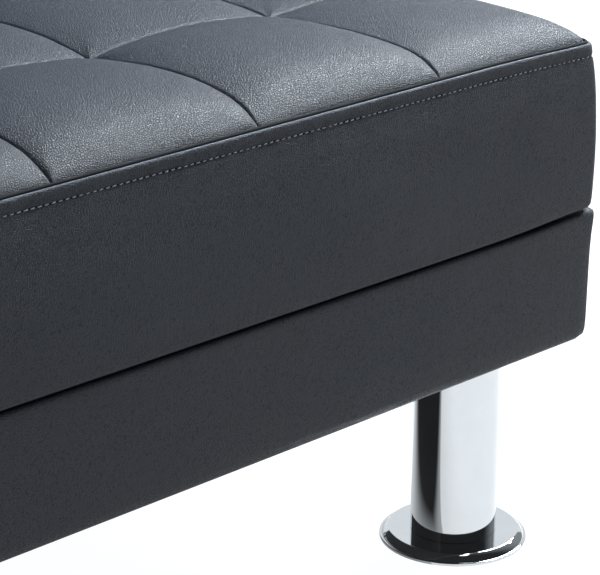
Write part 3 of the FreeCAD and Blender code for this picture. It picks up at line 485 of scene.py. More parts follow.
def thread_finish(name, colour):
    """Twisted polyester thread."""
    n = Nodes(name)
    twist = n.noise(2600, 1.0)
    base = n.mix(n.span(twist, 0.35, 0.65), shade(colour, 0.7), shade(colour, 1.15))
    return n.finish(Base_Color=base, Roughness=0.55, Normal=n.bump(twist, 0.0001, 0.6))


def painted_shade_finish(name):
    """Near-black painted shade, for the dimples where the needle went through and for the lines in the
    valleys and the groove of the edge seam.
    """
    n = Nodes(name)
    base = n.mix(n.noise(900, 2.0), (0.004, 0.0045, 0.005), (0.010, 0.011, 0.012))
    return n.finish(Base_Color=base, Roughness=0.8, Specular_IOR_Level=0.1)


def chrome_finish(name):
    """Bright chrome plate with the faintest polishing haze."""
    n = Nodes(name)
    haze = n.noise(60, 4.0, 0.6)
    fine = n.noise(900, 2.0)
    rough = n.span(haze, 0.3, 0.7, 0.025, 0.06)
    tint = n.mix(haze, (0.58, 0.605, 0.625), (0.63, 0.655, 0.675))
    return n.finish(Base_Color=tint, Metallic=1.0, Roughness=rough, Normal=n.bump(fine, 0.000004, 0.4))


def metal_finish(name, colour, low, high, metallic=1.0):
    """Plated or painted steel with uneven gloss."""
    n = Nodes(name)
    cloud = n.noise(45, 5.0, 0.65)
    pits = n.noise(1500, 2.0)
    base = n.mix(cloud, shade(colour, 0.82), shade(colour, 1.12))
    return n.finish(Base_Color=base, Metallic=metallic, Roughness=n.span(cloud, 0.3, 0.7, low, high),
                    Normal=n.bump(pits, 0.00008, 0.5))


def timber_finish(name, colour, along):
    """Planed softwood with its grain along one axis."""
    n = Nodes(name)
    stretch = [26.0, 26.0, 26.0]
    stretch[along] = 1.2
    grain = n.scaled(tuple(stretch))
    rings = n.add("ShaderNodeTexWave", wave_type="BANDS", bands_direction="DIAGONAL")
    rings.inputs["Scale"].default_value = 1.1
    rings.inputs["Distortion"].default_value = 5.0
    rings.inputs["Detail"].default_value = 3.0
    n.link(grain, rings, "Vector")
    fibre_stretch = [900.0, 900.0, 900.0]
    fibre_stretch[along] = 14.0
    fibre = n.noise(1.0, 3.0, 0.6, n.scaled(tuple(fibre_stretch)))
    band = n.mix(n.span(rings.outputs["Fac"], 0.1, 0.9), shade(colour, 0.72), shade(colour, 1.15))
    base = n.mix(n.span(fibre, 0.35, 0.7), band, shade(colour, 0.95))
    return n.finish(Base_Color=base, Roughness=n.span(fibre, 0.3, 0.7, 0.55, 0.75),
                    Normal=n.bump(fibre, 0.0003, 0.5))


def porous_finish(name, colour, scale, depth):
    """Open-cell foam."""
    n = Nodes(name)
    cell = n.cells(scale)
    cloud = n.noise(7, 3.0)
    base = n.mix(n.span(cell, 0.1, 0.7), shade(colour, 1.08), shade(colour, 0.72))
    base = n.mix(n.span(cloud, 0.3, 0.7, 0.0, 0.3), base, shade(colour, 0.85))
    return n.finish(Base_Color=base, Roughness=0.92,
                    Normal=n.bump(n.maths("SUBTRACT", 1.0, cell), depth, 0.9))


def felted_finish(name, colour, scale):
    """Needled felt or non-woven cloth: a tangle of short fibres."""
    n = Nodes(name)
    one = n.noise(1.0, 5.0, 0.75, n.scaled((scale, scale * 0.25, scale)))
    two = n.noise(1.0, 5.0, 0.75, n.scaled((scale * 0.25, scale, scale)))
    tangle = n.maths("ADD", n.maths("MULTIPLY", one, 0.5), n.maths("MULTIPLY", two, 0.5))
    base = n.mix(n.span(tangle, 0.38, 0.62), shade(colour, 0.6), shade(colour, 1.35))
    return n.finish(Base_Color=base, Roughness=0.95, Normal=n.bump(tangle, 0.0006, 0.8))


def plastic_finish(name, colour):
    """Moulded plastic with a fine spark-eroded texture."""
    n = Nodes(name)
    spark = n.noise(1800, 2.0)
    base = n.mix(n.noise(30, 3.0), shade(colour, 0.93), shade(colour, 1.07))
    return n.finish(Base_Color=base, Roughness=n.span(spark, 0.3, 0.7, 0.42, 0.58),
                    Normal=n.bump(spark, 0.00006, 0.5))


def floor_finish(name):
    """Plain pale floor with a trace of unevenness, lit through from below as a product table is."""
    n = Nodes(name)
    base = n.mix(n.noise(1.2, 3.0), (0.10, 0.10, 0.10), (0.11, 0.11, 0.11))
    return n.finish(Base_Color=base, Roughness=0.8, Specular_IOR_Level=0.0,
                    Emission_Color=(0.98, 0.99, 1.0), Emission_Strength=1.0)


def floor_shadow_finish(name):
    """Black sheet that only mirrors show: the painted shadow of the sofa on the floor, glowing in a soft
    ramp at its front edge and at its ends where the lit floor begins.
    """
    n = Nodes(name)
    split = n.add("ShaderNodeSeparateXYZ")
    n.link(n.place, split, "Vector")
    front = n.span(split.outputs["Y"], -0.395, -0.36, 0.5, 0.02, smooth=True)
    side = n.span(n.maths("ABSOLUTE", split.outputs["X"], 0.0), 0.76, 0.86, 0.0, 0.75, smooth=True)
    front = n.maths("MAXIMUM", front, side)
    return n.finish(Base_Color=(0.01, 0.01, 0.01), Roughness=0.9, Specular_IOR_Level=0.0,
                    Emission_Color=(0.95, 0.98, 1.0), Emission_Strength=front)


def card_finish(name):
    """Glowing white card that only the feet mirror: a painted reflection. The camera-only backdrop uses it
    too.
    """
    n = Nodes(name)
    return n.finish(Base_Color=(0.05, 0.05, 0.05), Roughness=0.9, Specular_IOR_Level=0.0,
                    Emission_Color=(0.93, 0.97, 1.0), Emission_Strength=1.05)


FINISHES = {}


def finish(name):
    """The finish with this name, made once."""
    colours = bpy.context.scene.futon_colours
    makers = {
        "leathercloth": lambda: leathercloth(name, tuple(colours.leathercloth)),
        "thread": lambda: thread_finish(name, tuple(colours.thread)),
        "hole_shade": lambda: painted_shade_finish(name),
        "chrome": lambda: chrome_finish(name),
        "zinc_steel": lambda: metal_finish(name, (0.62, 0.62, 0.60), 0.22, 0.42),
        "spring_wire": lambda: metal_finish(name, (0.33, 0.33, 0.34), 0.30, 0.50),
        "hinge_paint": lambda: metal_finish(name, (0.035, 0.035, 0.038), 0.32, 0.5, 0.0),
        "black_paint": lambda: metal_finish(name, (0.025, 0.025, 0.027), 0.35, 0.5, 0.0),
        "timber_along": lambda: timber_finish(name, tuple(colours.timber), 0),
        "timber_across": lambda: timber_finish(name, tuple(colours.timber), 1),
        "foam": lambda: porous_finish(name, tuple(colours.foam), 900, 0.0006),
        "felt": lambda: felted_finish(name, (0.30, 0.29, 0.28), 500),
        "glide_felt": lambda: felted_finish(name, (0.10, 0.10, 0.10), 700),
        "dust_cloth": lambda: felted_finish(name, (0.018, 0.018, 0.018), 420),
        "clip_plastic": lambda: plastic_finish(name, (0.75, 0.75, 0.70)),
        "black_plastic": lambda: plastic_finish(name, (0.02, 0.02, 0.02)),
        "floor": lambda: floor_finish(name),
        "backdrop": lambda: card_finish(name),
        "floor_shadow": lambda: floor_shadow_finish(name),
        "card": lambda: card_finish(name),
    }
    if name not in FINISHES:
        FINISHES[name] = makers[name]()
    return FINISHES[name]


# -------------------------------------------------------------------- slabs


class Slab:
    """Where one slab's cover lies, in its own lying-flat position."""

    def __init__(self, name, place, rows):
        self.name = name
        self.place = place
        self.rows = rows
        low, high = extents(f"{name}_tufted_panel", place)
        self.half = high[0]
        self.low, self.high = low[1], high[1]
        self.crease, self.far = (high[1], low[1]) if name == "seat" else (low[1], high[1])
        band_low, band_high = extents(f"{name}_boxing_ends", place)
        self.seam = band_high[2] + SEAM_LIFT
        self.bottom = band_low[2]
        self.crease_half = extents(f"{name}_boxing_crease", place)[1][0]

    def height(self, millimetres):
        """A level given in millimetres from the edge seam."""
        return self.seam + millimetres * MM


def both_slabs():
    """The seat's slab and the back's."""
    cover = bpy.context.scene.futon_cover
    return Slab("seat", SEAT_PLACE, cover.seat_rows), Slab("back", BACK_PLACE, cover.back_rows)


LINE_STEPS = [s * MM for s in (0, 0.5, 1.1, 2.0, 3.3, 5.2, 8, 12, 17.5, 25, 34, 45, 58)]
VALLEY_RAMP = 34 * MM  # how far in from the edge the sewn lines reach their full height
RELIEF_RAMP = 66 * MM  # and their full arch between crossings


def graded(lines):
    """Positions across a row of biscuits, closer together beside each sewn line."""
    spots = []
    for low, high in zip(lines[:-1], lines[1:]):
        near = [step for step in LINE_STEPS if step < (high - low) / 2 * 0.95]
        spots += [low + step for step in near] + [(low + high) / 2]
        spots += [high - step for step in reversed(near) if step > 0]
    return np.array(spots + [lines[-1]])


def nearness(spots, lines):
    """Place across a biscuit: 1 on a sewn line and 0 half-way between two."""
    lines = np.array(lines)
    index = np.clip(np.searchsorted(lines, spots, side="right") - 1, 0, len(lines) - 2)
    low, high = lines[index], lines[index + 1]
    return 1 - 2 * np.minimum(spots - low, high - spots) / (high - low)


def quilt_heights(xs, ys, lines_x, lines_y, cover):
    """Heights of a quilted panel above its edge seam."""
    across_x, across_y = nearness(xs, lines_x), nearness(ys, lines_y)
    power = cover.roundness
    rise_x = np.maximum(1 - across_x**power, 1e-5) ** cover.steepness
    rise_y = np.maximum(1 - across_y**power, 1e-5) ** cover.steepness
    sharp = cover.fullness
    dome = ((rise_x**-sharp)[:, None] + (rise_y**-sharp)[None, :] - 1) ** (-1 / sharp)
    edge = np.minimum(
        np.minimum(xs - lines_x[0], lines_x[-1] - xs)[:, None],
        np.minimum(ys - lines_y[0], lines_y[-1] - ys)[None, :],
    )
    valley = cover.valley * (1 - (1 - np.clip(edge / VALLEY_RAMP, 0, 1)) ** 2.5)
    end = np.clip((xs - lines_x[1]) / 0.02, 0, 1) * np.clip((lines_x[-2] - xs) / 0.02, 0, 1)
    full = (cover.end_fill + (1 - cover.end_fill) * end)[:, None]
    open_x, open_y = (1 - across_x**2)[:, None], (1 - across_y**2)[None, :]
    arch = 1 - (1 - np.clip(edge / RELIEF_RAMP, 0, 1)) ** 2.2
    relief = cover.relief * (open_x + open_y - open_x * open_y) * arch
    inner_x = np.abs(xs[:, None] - np.array(lines_x[1:-1])[None, :]).min(1)
    inner_y = np.abs(ys[:, None] - np.array(lines_y[1:-1])[None, :]).min(1)
    nip = np.maximum(np.exp(-((inner_x / cover.crease_width) ** 2))[:, None],
                     np.exp(-((inner_y / cover.crease_width) ** 2))[None, :])
    tuck = 4.2 * MM * np.exp(-((edge / (2.0 * MM)) ** 2))
    nip = cover.crease_depth * nip * np.clip(edge / (4 * MM), 0, 1)
    return (cover.dome * dome + relief) * full + valley - nip - tuck


def puckers(x, y, z, lines_x, lines_y):
    """Small tension folds that fan out of the crossings, and the uneven fill of each biscuit."""
    gx = min(lines_x, key=lambda line: abs(line - x))
    gy = min(lines_y, key=lambda line: abs(line - y))
    dx, dy = x - gx, y - gy
    reach = math.hypot(dx, dy)
    angle = math.atan2(dy, dx)
    seed = gx * 17.0 + gy * 31.0
    fan = 0.55 * MM * math.sin(7 * angle + 9 * math.sin(seed)) * math.exp(-((reach / 0.024) ** 2))
    fan *= min(1.0, reach / 0.004)
    side = min(abs(dx), abs(dy))
    gather = 0.28 * MM * wobble((x, y, z), 95, 3.1)
    gather *= math.exp(-side / 0.010) * min(1.0, side / 0.0015)
    fill = 0.9 * MM * wobble((x, y, z), 9, 7.7) + 0.35 * MM * wobble((x, y, z), 30, 1.3)
    return fan + gather + fill


def round_corners(xs, ys, half_x, low, high, radius):
    """Pulls a square grid's corners in to a rounded outline."""
    centre, half_y = (low + high) / 2, (high - low) / 2
    reach = 4 * radius
    out_x, out_y = xs.copy(), ys.copy()
    local_x = np.abs(xs) - (half_x - reach)
    local_y = np.abs(ys - centre) - (half_y - reach)
    near = (local_x > 0) & (local_y > 0)
    for i, j in zip(*np.nonzero(near)):
        lx, ly = local_x[i, j], local_y[i, j]
        length = math.hypot(lx, ly)
        share = max(lx, ly) / reach
        ux, uy = lx / length, ly / length
        square = length / share
        inner = reach - radius
        along = ux * inner + uy * inner
        gap = 2 * inner * inner - radius * radius
        hit = along + math.sqrt(max(0.0, along * along - gap))
        on_arc = along * along > gap and min(ux, uy) * hit > inner
        rounded = hit if on_arc else square
        pull = 1 + (rounded / square - 1) * share**4
        out_x[i, j] = math.copysign(half_x - reach + lx * pull, xs[i, j])
        out_y[i, j] = centre + math.copysign(half_y - reach + ly * pull, ys[i, j] - centre)
    return out_x, out_y


def settle(points, slab, cover):
    """Draws the outer corners of a slab in: down at the edge seam and up at the bottom."""
    points = np.array(points, float)
    gap = np.hypot(slab.half - np.abs(points[:, 0]), points[:, 1] - slab.far)
    near = np.exp(-((gap / cover.corner_reach) ** 2))
    share = np.clip((points[:, 2] - slab.bottom) / (slab.seam - slab.bottom), 0, 1)
    points[:, 2] += near * (cover.bottom_lift * (1 - share) ** 2 - cover.corner_dip * share**2)
    return points


def quilted_panel(slab, cover):
    """The biscuit-quilted top of a slab as one closed piece."""
    inset = 1.6 * MM
    pitch = 2 * (slab.half - cover.end_biscuit) / (cover.columns - 2)
    inner = [cover.end_biscuit - slab.half + pitch * i for i in range(cover.columns - 1)]
    lines_x = [inset - slab.half, *inner, slab.half - inset]
    row = (slab.high - slab.low) / slab.rows
    lines_y = [slab.low + inset, *(slab.low + row * i for i in range(1, slab.rows)), slab.high - inset]
    xs, ys = graded(lines_x), graded(lines_y)
    heights = quilt_heights(xs, ys, lines_x, lines_y, cover)
    grid_x, grid_y = np.meshgrid(xs, ys, indexing="ij")
    edge = np.minimum(np.minimum(grid_x - lines_x[0], lines_x[-1] - grid_x),
                      np.minimum(grid_y - lines_y[0], lines_y[-1] - grid_y))
    for i in range(len(xs)):
        for j in range(len(ys)):
            hold = min(1.0, edge[i, j] / 0.006)
            if hold > 0:
                heights[i, j] += hold * puckers(xs[i], ys[j], 0.0, lines_x, lines_y)
    grid_x, grid_y = round_corners(
        grid_x, grid_y, lines_x[-1], lines_y[0], lines_y[-1], cover.corner - inset)
    top = np.column_stack([grid_x.ravel(), grid_y.ravel(), slab.seam + heights.ravel()])
    rim = rim_indices(*grid_x.shape)
    under = top[rim].copy()
    under[:, 2] = slab.height(-3.9)
    skirt, lid = skirt_faces(rim, len(top))
    faces = [(a, d, c, b) for a, b, c, d in grid_faces(*grid_x.shape)] + skirt + [lid[::-1]]
    lines = [np.column_stack([grid_x[i], grid_y[i], slab.seam + heights[i]])
             for i in (int(np.argmin(np.abs(xs - line))) for line in inner)]
    lines += [np.column_stack([grid_x[:, j], grid_y[:, j], slab.seam + heights[:, j]])
              for j in (int(np.argmin(np.abs(ys - line))) for line in lines_y[1:-1])]
    return np.concatenate([top, under]), faces, lines


def painted_crease_shade(slab, lines, cover):
    """Near-black tubes along the bottom of every valley, where the sewn lines lie, and in the groove of the
    edge seam: painted shade in these creases.
    """
    parts = []
    for line in lines:
        line = line[2:-2:2] + np.array((0, 0, 0.12 * MM))
        parts.append(tube_mesh(line, 0.27 * MM, sides=6))
    edge, _ = outline(band_corners(slab), cover.corner - 2.1 * MM, -2.1 * MM, 4 * MM, False)
    edge = np.column_stack([edge, np.full(len(edge), slab.height(0.25))])
    parts.append(tube_mesh(edge, 1.2 * MM, sides=8))
    return merge(parts)


# Section of a slab's side band: millimetres out from the slab's side, millimetres up from the edge seam,
# and how far the corner has opened from its radius at the seam to its radius lower down.
BAND_SECTION = [
    (-9.4, -4.3, 0.0), (-2.4, -4.3, 0.0), (-1.9, -3.0, 0.0), (-1.55, -1.6, 0.0), (-1.2, -0.7, 0.0),
    (-0.85, -0.2, 0.0), (-0.4, 0.05, 0.0), (0.1, -0.1, 0.1), (0.6, -0.65, 0.2), (0.9, -1.6, 0.35),
    (0.95, -2.9, 0.5),
    (0.9, -4.6, 0.7), (0.85, -6.6, 0.85), (0.6, -8.1, 0.95), (0.35, -9.0, 1.0), (0.55, -9.9, 1.0),
    (1.0, -11.3, 1.0), (1.4, -14.0, 1.0), (1.9, -19.0, 1.0), (2.5, -27.0, 1.0), (3.1, -38.0, 1.0),
    (3.6, -52.0, 1.0), (3.9, -66.0, 1.0), (4.0, -80.0, 1.0), (3.9, -93.0, 1.0), (3.7, -103.5, 1.0),
    (3.4, -111.5, 1.0), (3.0, -115.6, 1.0), (2.1, -117.8, 1.0), (0.2, -118.9, 1.0), (-9.4, -119.0, 1.0),
]
STITCH_AT = (0.42, -9.0)


def band_ripple(slab):
    """How the side band swells and drags between its seams."""
    def ripple(point, offset, height):
        drop = (slab.seam - height) / MM
        if offset < 0 or drop < 6:
            return 0.0
        x, y, z = point
        hold = min(1.0, (drop - 6) / 30) * min(1.0, max(0.0, (BAND_DROP - drop) / 20))
        soft = 0.8 * MM * wobble(point, 7, 2.2) + 0.3 * MM * wobble(point, 22, 5.0)
        drag = 0.5 * MM * wobble((x, y, z * 0.25), 110, 9.4) * math.exp(-(drop - 6) / 12)
        pull = 0.35 * MM * wobble((x, y, z * 0.1), 260, 2.9) * math.exp(-(((drop - 9) / 4) ** 2))
        return hold * soft + drag + pull
    return ripple


def band_corners(slab):
    """The open outline of a slab's side band, from crease to crease round the outside."""
    if slab.name == "seat":
        return [(-slab.half, slab.crease), (-slab.half, slab.far), (slab.half, slab.far),
                (slab.half, slab.crease)]
    return [(slab.half, slab.crease), (slab.half, slab.far), (-slab.half, slab.far),
            (-slab.half, slab.crease)]


def band_radius(opened, cover):
    """Corner radius, from the edge seam (0) to lower down the band (1)."""
    return cover.corner + (cover.side_corner - cover.corner) * opened


class Seam:
    """A line of points that is stitched at an even pitch."""

    def __init__(self, points, outward, cover):
        self.points = points
        self.outward = outward
        self.pitch = cover.stitch_pitch
        steps = np.linalg.norm(np.diff(points, axis=0), axis=1)
        self.run = np.concatenate([[0], np.cumsum(steps)])
        self.count = int((self.run[-1] - self.pitch) / self.pitch)
        self.start = (self.run[-1] - (self.count - 1) * self.pitch) / 2

    def at(self, here):
        """Centre, way ahead, way across and way out, at a distance along the line."""
        def along(columns, there):
            return np.array([np.interp(there, self.run, columns[:, axis]) for axis in range(3)])

        centre = along(self.points, here)
        ahead = along(self.points, here + 1 * MM) - centre
        ahead /= np.linalg.norm(ahead)
        out = along(self.outward, here)
        out /= np.linalg.norm(out)
        return centre, ahead, np.cross(out, ahead), out


def stitch_row(seam, cover):
    """Top stitches along a seam, each a short thread that dips into its holes."""
    lean = 0.10
    rings = [(-0.5, 0.35, -1.1), (-0.36, 0.85, -0.15), (0.0, 1.0, 0.25), (0.36, 0.85, -0.15),
             (0.5, 0.35, -1.1)]
    sides = 6
    parts = []
    for k in range(seam.count):
        centre, ahead, across, out = seam.at(seam.start + k * seam.pitch)
        ahead = ahead * math.cos(lean) + across * math.sin(lean)
        across = np.cross(out, ahead)
        ring_points = []
        for along, size, lift in rings:
            middle = centre + ahead * along * cover.stitch_length + out * lift * cover.thread
            for s in range(sides):
                angle = 2 * math.pi * s / sides
                ring_points.append(middle + size * cover.thread * (math.cos(angle) * across
                                                                   + math.sin(angle) * out))
        faces = grid_faces(len(rings), sides, wrap_length=True)
        faces.append(tuple(range(sides))[::-1])
        faces.append(tuple(range((len(rings) - 1) * sides, len(rings) * sides)))
        parts.append((np.array(ring_points), faces))
    return merge(parts)


def hole_row(seam):
    """Near-black discs on the needle dimples between one stitch and the next: painted shade in the holes.
    """
    sides = 8
    faces = [(i, (i + 1) % sides, sides) for i in range(sides)] + [tuple(range(sides))[::-1]]
    parts = []
    for k in range(seam.count + 1):
        here = min(max(seam.start + (k - 0.5) * seam.pitch, 0), seam.run[-1] - 2 * MM)
        centre, ahead, across, out = seam.at(here)
        long = 1.0 * MM * (1.0 + 0.25 * math.sin(12.9898 * k))
        ring = [centre + out * 0.03 * MM + ahead * long * math.cos(a) + across * 0.55 * MM * math.sin(a)
                for a in np.linspace(0, 2 * math.pi, sides, endpoint=False)]
        parts.append((np.array(ring + [centre + out * 0.22 * MM]), faces))
    return merge(parts)


def crease_band(slab):
    """The straight band at the crease, between the hinge plates."""
    way = 1.0 if slab.name == "seat" else -1.0
    section = [(offset * 0.55 if offset > 1 else offset, height) for offset, height, _ in BAND_SECTION]
    xs = np.linspace(-slab.crease_half + 0.001, slab.crease_half - 0.001, 120)
    points = [(x, slab.crease + way * offset * MM * (0.6 if offset > 0 else 1.0), slab.height(height))
              for offset, height in section for x in xs]
    rows, length = len(section), len(xs)
    faces = [face if way > 0 else face[::-1] for face in grid_faces(rows, length, wrap_rows=True)]
    start = tuple(i * length for i in range(rows))
    end = tuple(i * length + length - 1 for i in range(rows))
    faces += [start[::-1], end] if way > 0 else [start, end[::-1]]
    return np.array(points), faces


class FUTON_OT_quilted_panels(bpy.types.Operator):
    """Sew the biscuit-quilted tops of the seat and the back"""

    bl_idname = "futon.quilted_panels"
    bl_label = "Quilted panels"

    def execute(self, context):
        cover = context.scene.futon_cover
        for slab in both_slabs():
            points, faces, lines = quilted_panel(slab, cover)
            points = settle(points, slab, cover)
            panel = add_mesh(f"{slab.name}_quilted_top", points, faces, finish("leathercloth"),
                             slab.name, slab.place)
            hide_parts(f"{slab.name}_tufted_panel")
            # Near-black tubes in the valleys and in the edge seam's groove: painted shade in the creases.
            points, faces = painted_crease_shade(slab, lines, cover)
            points = settle(points, slab, cover)
            crease_shade_lines = add_mesh(f"{slab.name}_crease_sewing", points, faces, finish("hole_shade"),
                              slab.name, slab.place)
        return {"FINISHED"}


class FUTON_OT_side_bands(bpy.types.Operator):
    """Sew the side bands of both slabs, with their top stitching"""

    bl_idname = "futon.side_bands"
    bl_label = "Side bands"

    def execute(self, context):
        cover = context.scene.futon_cover
        for slab in both_slabs():
            corners = band_corners(slab)
            section = [(o * MM, slab.height(z), band_radius(k, cover)) for o, z, k in BAND_SECTION]
            points, faces = sweep(corners, False, section, 2.4 * MM, band_ripple(slab))
            points = settle(points, slab, cover)
            band = add_mesh(f"{slab.name}_side_band", points, faces, finish("leathercloth"),
                            slab.name, slab.place)
            outer = "front" if slab.name == "seat" else "top"
            # A painted highlight along the fold at the top of the band, stronger in some stretches than in
            # others, kept as a point attribute for the leathercloth.
            fold = [math.exp(-(((z + 0.2) / 0.5) ** 2)) * (o > -1) for o, z, _ in BAND_SECTION]
            around = len(points) // len(BAND_SECTION)
            highlight_strength = [0.55 + 0.45 * wobble(points[k], 9, 4.4) for k in range(around)]
            fold_highlight = band.data.attributes.new("fold_highlight", "FLOAT", "POINT")
            fold_highlight.data.foreach_set("value", np.outer(fold, highlight_strength).clip(0, 1).ravel().astype(np.float32))
            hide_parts(f"{slab.name}_boxing_{outer}", f"{slab.name}_boxing_ends")
            points, faces = crease_band(slab)
            inner = add_mesh(f"{slab.name}_crease_band", points, faces, finish("leathercloth"),
                             slab.name, slab.place)
            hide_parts(f"{slab.name}_boxing_crease")
            line, out = outline(corners, band_radius(1.0, cover), STITCH_AT[0] * MM, 4 * MM, False)
            line = np.column_stack([line, np.full(len(line), slab.height(STITCH_AT[1]))])
            out = np.column_stack([out, np.zeros(len(out))])
            seam = Seam(line, out, cover)
            points, faces = stitch_row(seam, cover)
            points = settle(points, slab, cover)
            stitches = add_mesh(f"{slab.name}_top_stitching", points, faces, finish("thread"),
                                slab.name, slab.place)
            # Near-black discs at the needle holes: painted shade in the dimples.
            points, faces = hole_row(seam)
            points = settle(points, slab, cover)
            hole_shade_discs = add_mesh(f"{slab.name}_stitch_holes", points, faces, finish("hole_shade"),
                             slab.name, slab.place)
        return {"FINISHED"}


# --------------------------------------------------------------- inside pieces


def foam_outline(slab, low, high):
    """Plan of a foam block. The seat's block is cut away round the hinge plates."""
    if slab.name == "back":
        return rectangle(low, high)
    bay_x = slab.crease_half
    bay_y = extents("hinge_seat_plates", slab.place)[0][1]
    bay_y = max(bay_y, slab.crease - 58 * MM)
    return [(low[0], low[1]), (high[0], low[1]), (high[0], bay_y), (bay_x, bay_y), (bay_x, high[1]),
            (-bay_x, high[1]), (-bay_x, bay_y), (low[0], bay_y)]


class FUTON_OT_filling(bpy.types.Operator):
    """Cut the foam and felt that fill each slab"""

    bl_idname = "futon.filling"
    bl_label = "Foam and felt"

    def execute(self, context):
        for slab in both_slabs():
            for kind, bevel in (("foam", 2.0), ("insulator_felt", 0.8)):
                node = f"{slab.name}_{kind}"
                low, high = extents(node, slab.place)
                low, high = low + 0.2 * MM, high - 0.2 * MM
                plan = foam_outline(slab, low, high) if kind == "foam" else rectangle(low, high)
                points, faces = soft_block(plan, low[2], high[2], bevel * MM)
                piece = add_mesh(f"{node}_layer", points, faces,
                                 finish("foam" if kind == "foam" else "felt"), slab.name, slab.place)
                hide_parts(node)
        return {"FINISHED"}


def spring_path(low, high, height, bar, turn):
    """One zigzag spring at x = 0: straight bars joined by half turns."""
    bars = max(2, round((high - low) / turn))
    step = (high - low) / bars
    half = bar / 2
    points = []
    for i in range(bars + 1):
        y = low + i * step
        way = 1 if i % 2 == 0 else -1
        points += [(-way * half, y, height), (0.0, y, height), (way * half, y, height)]
        if i < bars:
            for k in range(1, 6):
                angle = math.pi * k / 6
                points.append((way * (half + step / 2 * math.sin(angle)),
                               y + step / 2 * (1 - math.cos(angle)), height))
    return np.array(points)


class FUTON_OT_springs(bpy.types.Operator):
    """Bend the zigzag springs of both slabs and wind the pawl springs"""

    bl_idname = "futon.springs"
    bl_label = "Springs"

    def execute(self, context):
        radius = 1.9 * MM
        for slab in both_slabs():
            node = f"{slab.name}_springs"
            low, high = extents(node, slab.place)
            xs = np.sort([v.co.x for v in NODES[node].data.vertices])
            cuts = np.nonzero(np.diff(xs) > 20 * MM)[0]
            starts, ends = np.concatenate([[0], cuts + 1]), np.concatenate([cuts, [len(xs) - 1]])
            parts = []
            for a, b in zip(starts, ends):
                middle = (xs[a] + xs[b]) / 2
                path = spring_path(low[1] + radius, high[1] - radius, (low[2] + high[2]) / 2,
                                   40 * MM, 30 * MM)
                width = xs[b] - xs[a] - 2 * radius
                path[:, 0] *= width / (path[:, 0].max() - path[:, 0].min())
                path[:, 0] += middle - (path[:, 0].max() + path[:, 0].min()) / 2
                parts.append(tube_mesh(path, radius))
            points, faces = merge(parts)
            piece = add_mesh(f"{slab.name}_zigzag_springs", points, faces, finish("spring_wire"),
                             slab.name, slab.place)
            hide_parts(node)
        for side in ("left", "right"):
            node = f"pawl_spring_{side}"
            low, high = extents(node, STAND)
            wire = 0.4 * MM
            turns = 9
            centre = (low + high) / 2
            coil = (high[0] - low[0]) / 2 - wire
            angles = np.linspace(0, 2 * math.pi * turns, turns * 20 + 1)
            rise = np.linspace(low[2] + wire, high[2] - wire, len(angles))
            path = np.column_stack([centre[0] + coil * np.cos(angles),
                                    centre[1] + coil * np.sin(angles), rise])
            points, faces = tube_mesh(path, wire, sides=6)
            piece = add_mesh(f"pawl_return_spring_{side}", points, faces, finish("spring_wire"), "seat")
            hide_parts(node)
        return {"FINISHED"}


# ---------------------------------------------------------- base and rear covers

BASE_SECTION = [
    (-5.8, -2.0, 0.0), (-5.8, 0.15, 0.0), (-23.6, 0.15, 0.0), (-23.8, 0.5, 0.0), (-23.6, 0.9, 0.0),
    (-5.0, 1.1, 0.0), (-0.6, 1.1, 0.0), (1.2, 0.8, 0.0), (2.3, -0.1, 0.0), (2.8, -1.4, 0.05),
    (3.0, -3.6, 0.15), (2.9, -8.0, 0.3), (2.6, -15.0, 0.6), (2.4, -26.0, 0.9), (2.3, -40.0, 1.0),
    (2.2, -54.0, 1.0), (2.1, -66.0, 1.0), (1.9, -76.0, 1.0), (1.5, -83.0, 1.0), (0.8, -86.6, 1.0),
    (-0.5, -88.6, 1.0), (-2.4, -89.0, 1.0), (-5.8, -89.0, 1.0),
]


class FUTON_OT_base_cover(bpy.types.Operator):
    """Stretch the leathercloth round the base"""

    bl_idname = "futon.base_cover"
    bl_label = "Base cover"

    def execute(self, context):
        front_low, front_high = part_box("base_cover_front")
        rear_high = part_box("base_cover_rear")[1]
        top = front_high.z

        def ripple(point, offset, height):
            drop = (top - height) / MM
            if offset < 0:
                return 0.0
            hold = min(1.0, drop / 15) * min(1.0, max(0.0, (88 - drop) / 20))
            return hold * (0.5 * MM * wobble(point, 8, 4.4) + 0.2 * MM * wobble(point, 26, 6.1))

        section = [(o * MM, top + z * MM, (3.5 + 1.0 * k) * MM) for o, z, k in BASE_SECTION]
        corners = [(front_low.x, front_low.y), (front_high.x, front_low.y),
                   (front_high.x, rear_high.y), (front_low.x, rear_high.y)]
        points, faces = sweep(corners, True, section, 6 * MM, ripple)
        half_x = front_high.x
        gap = np.hypot(half_x - np.abs(points[:, 0]), points[:, 1] - front_low.y)
        share = np.clip((points[:, 2] - top + 0.03) / 0.03, 0, 1)
        ear = np.exp(-((gap / 0.035) ** 2)) * share**2
        end = np.abs(points[:, 0]) > half_x - 1 * MM
        points[:, 0] += np.sign(points[:, 0]) * (1.0 * MM * ear + 4.0 * MM * end)
        points[:, 2] += 2.2 * MM * ear
        piece = add_mesh("base_side_cover", points, faces, finish("leathercloth"), "base")
        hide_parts("base_cover_front", "base_cover_rear", "base_cover_ends")
        return {"FINISHED"}


def staples(points, ways):
    """Wire staples lying on a cloth, one at each point, along each way."""
    crown, wire = 10 * MM, 0.6 * MM
    bends = ((-0.5, 0.8), (-0.47, -0.1), (0.0, -0.2), (0.47, -0.1), (0.5, 0.8))
    parts = []
    for point, way in zip(points, ways):
        way = np.array(way, float)
        path = np.array([np.array(point) + way * crown * t + np.array((0, 0, z * MM)) for t, z in bends])
        parts.append(tube_mesh(path, wire / 2, sides=6))
    return merge(parts)


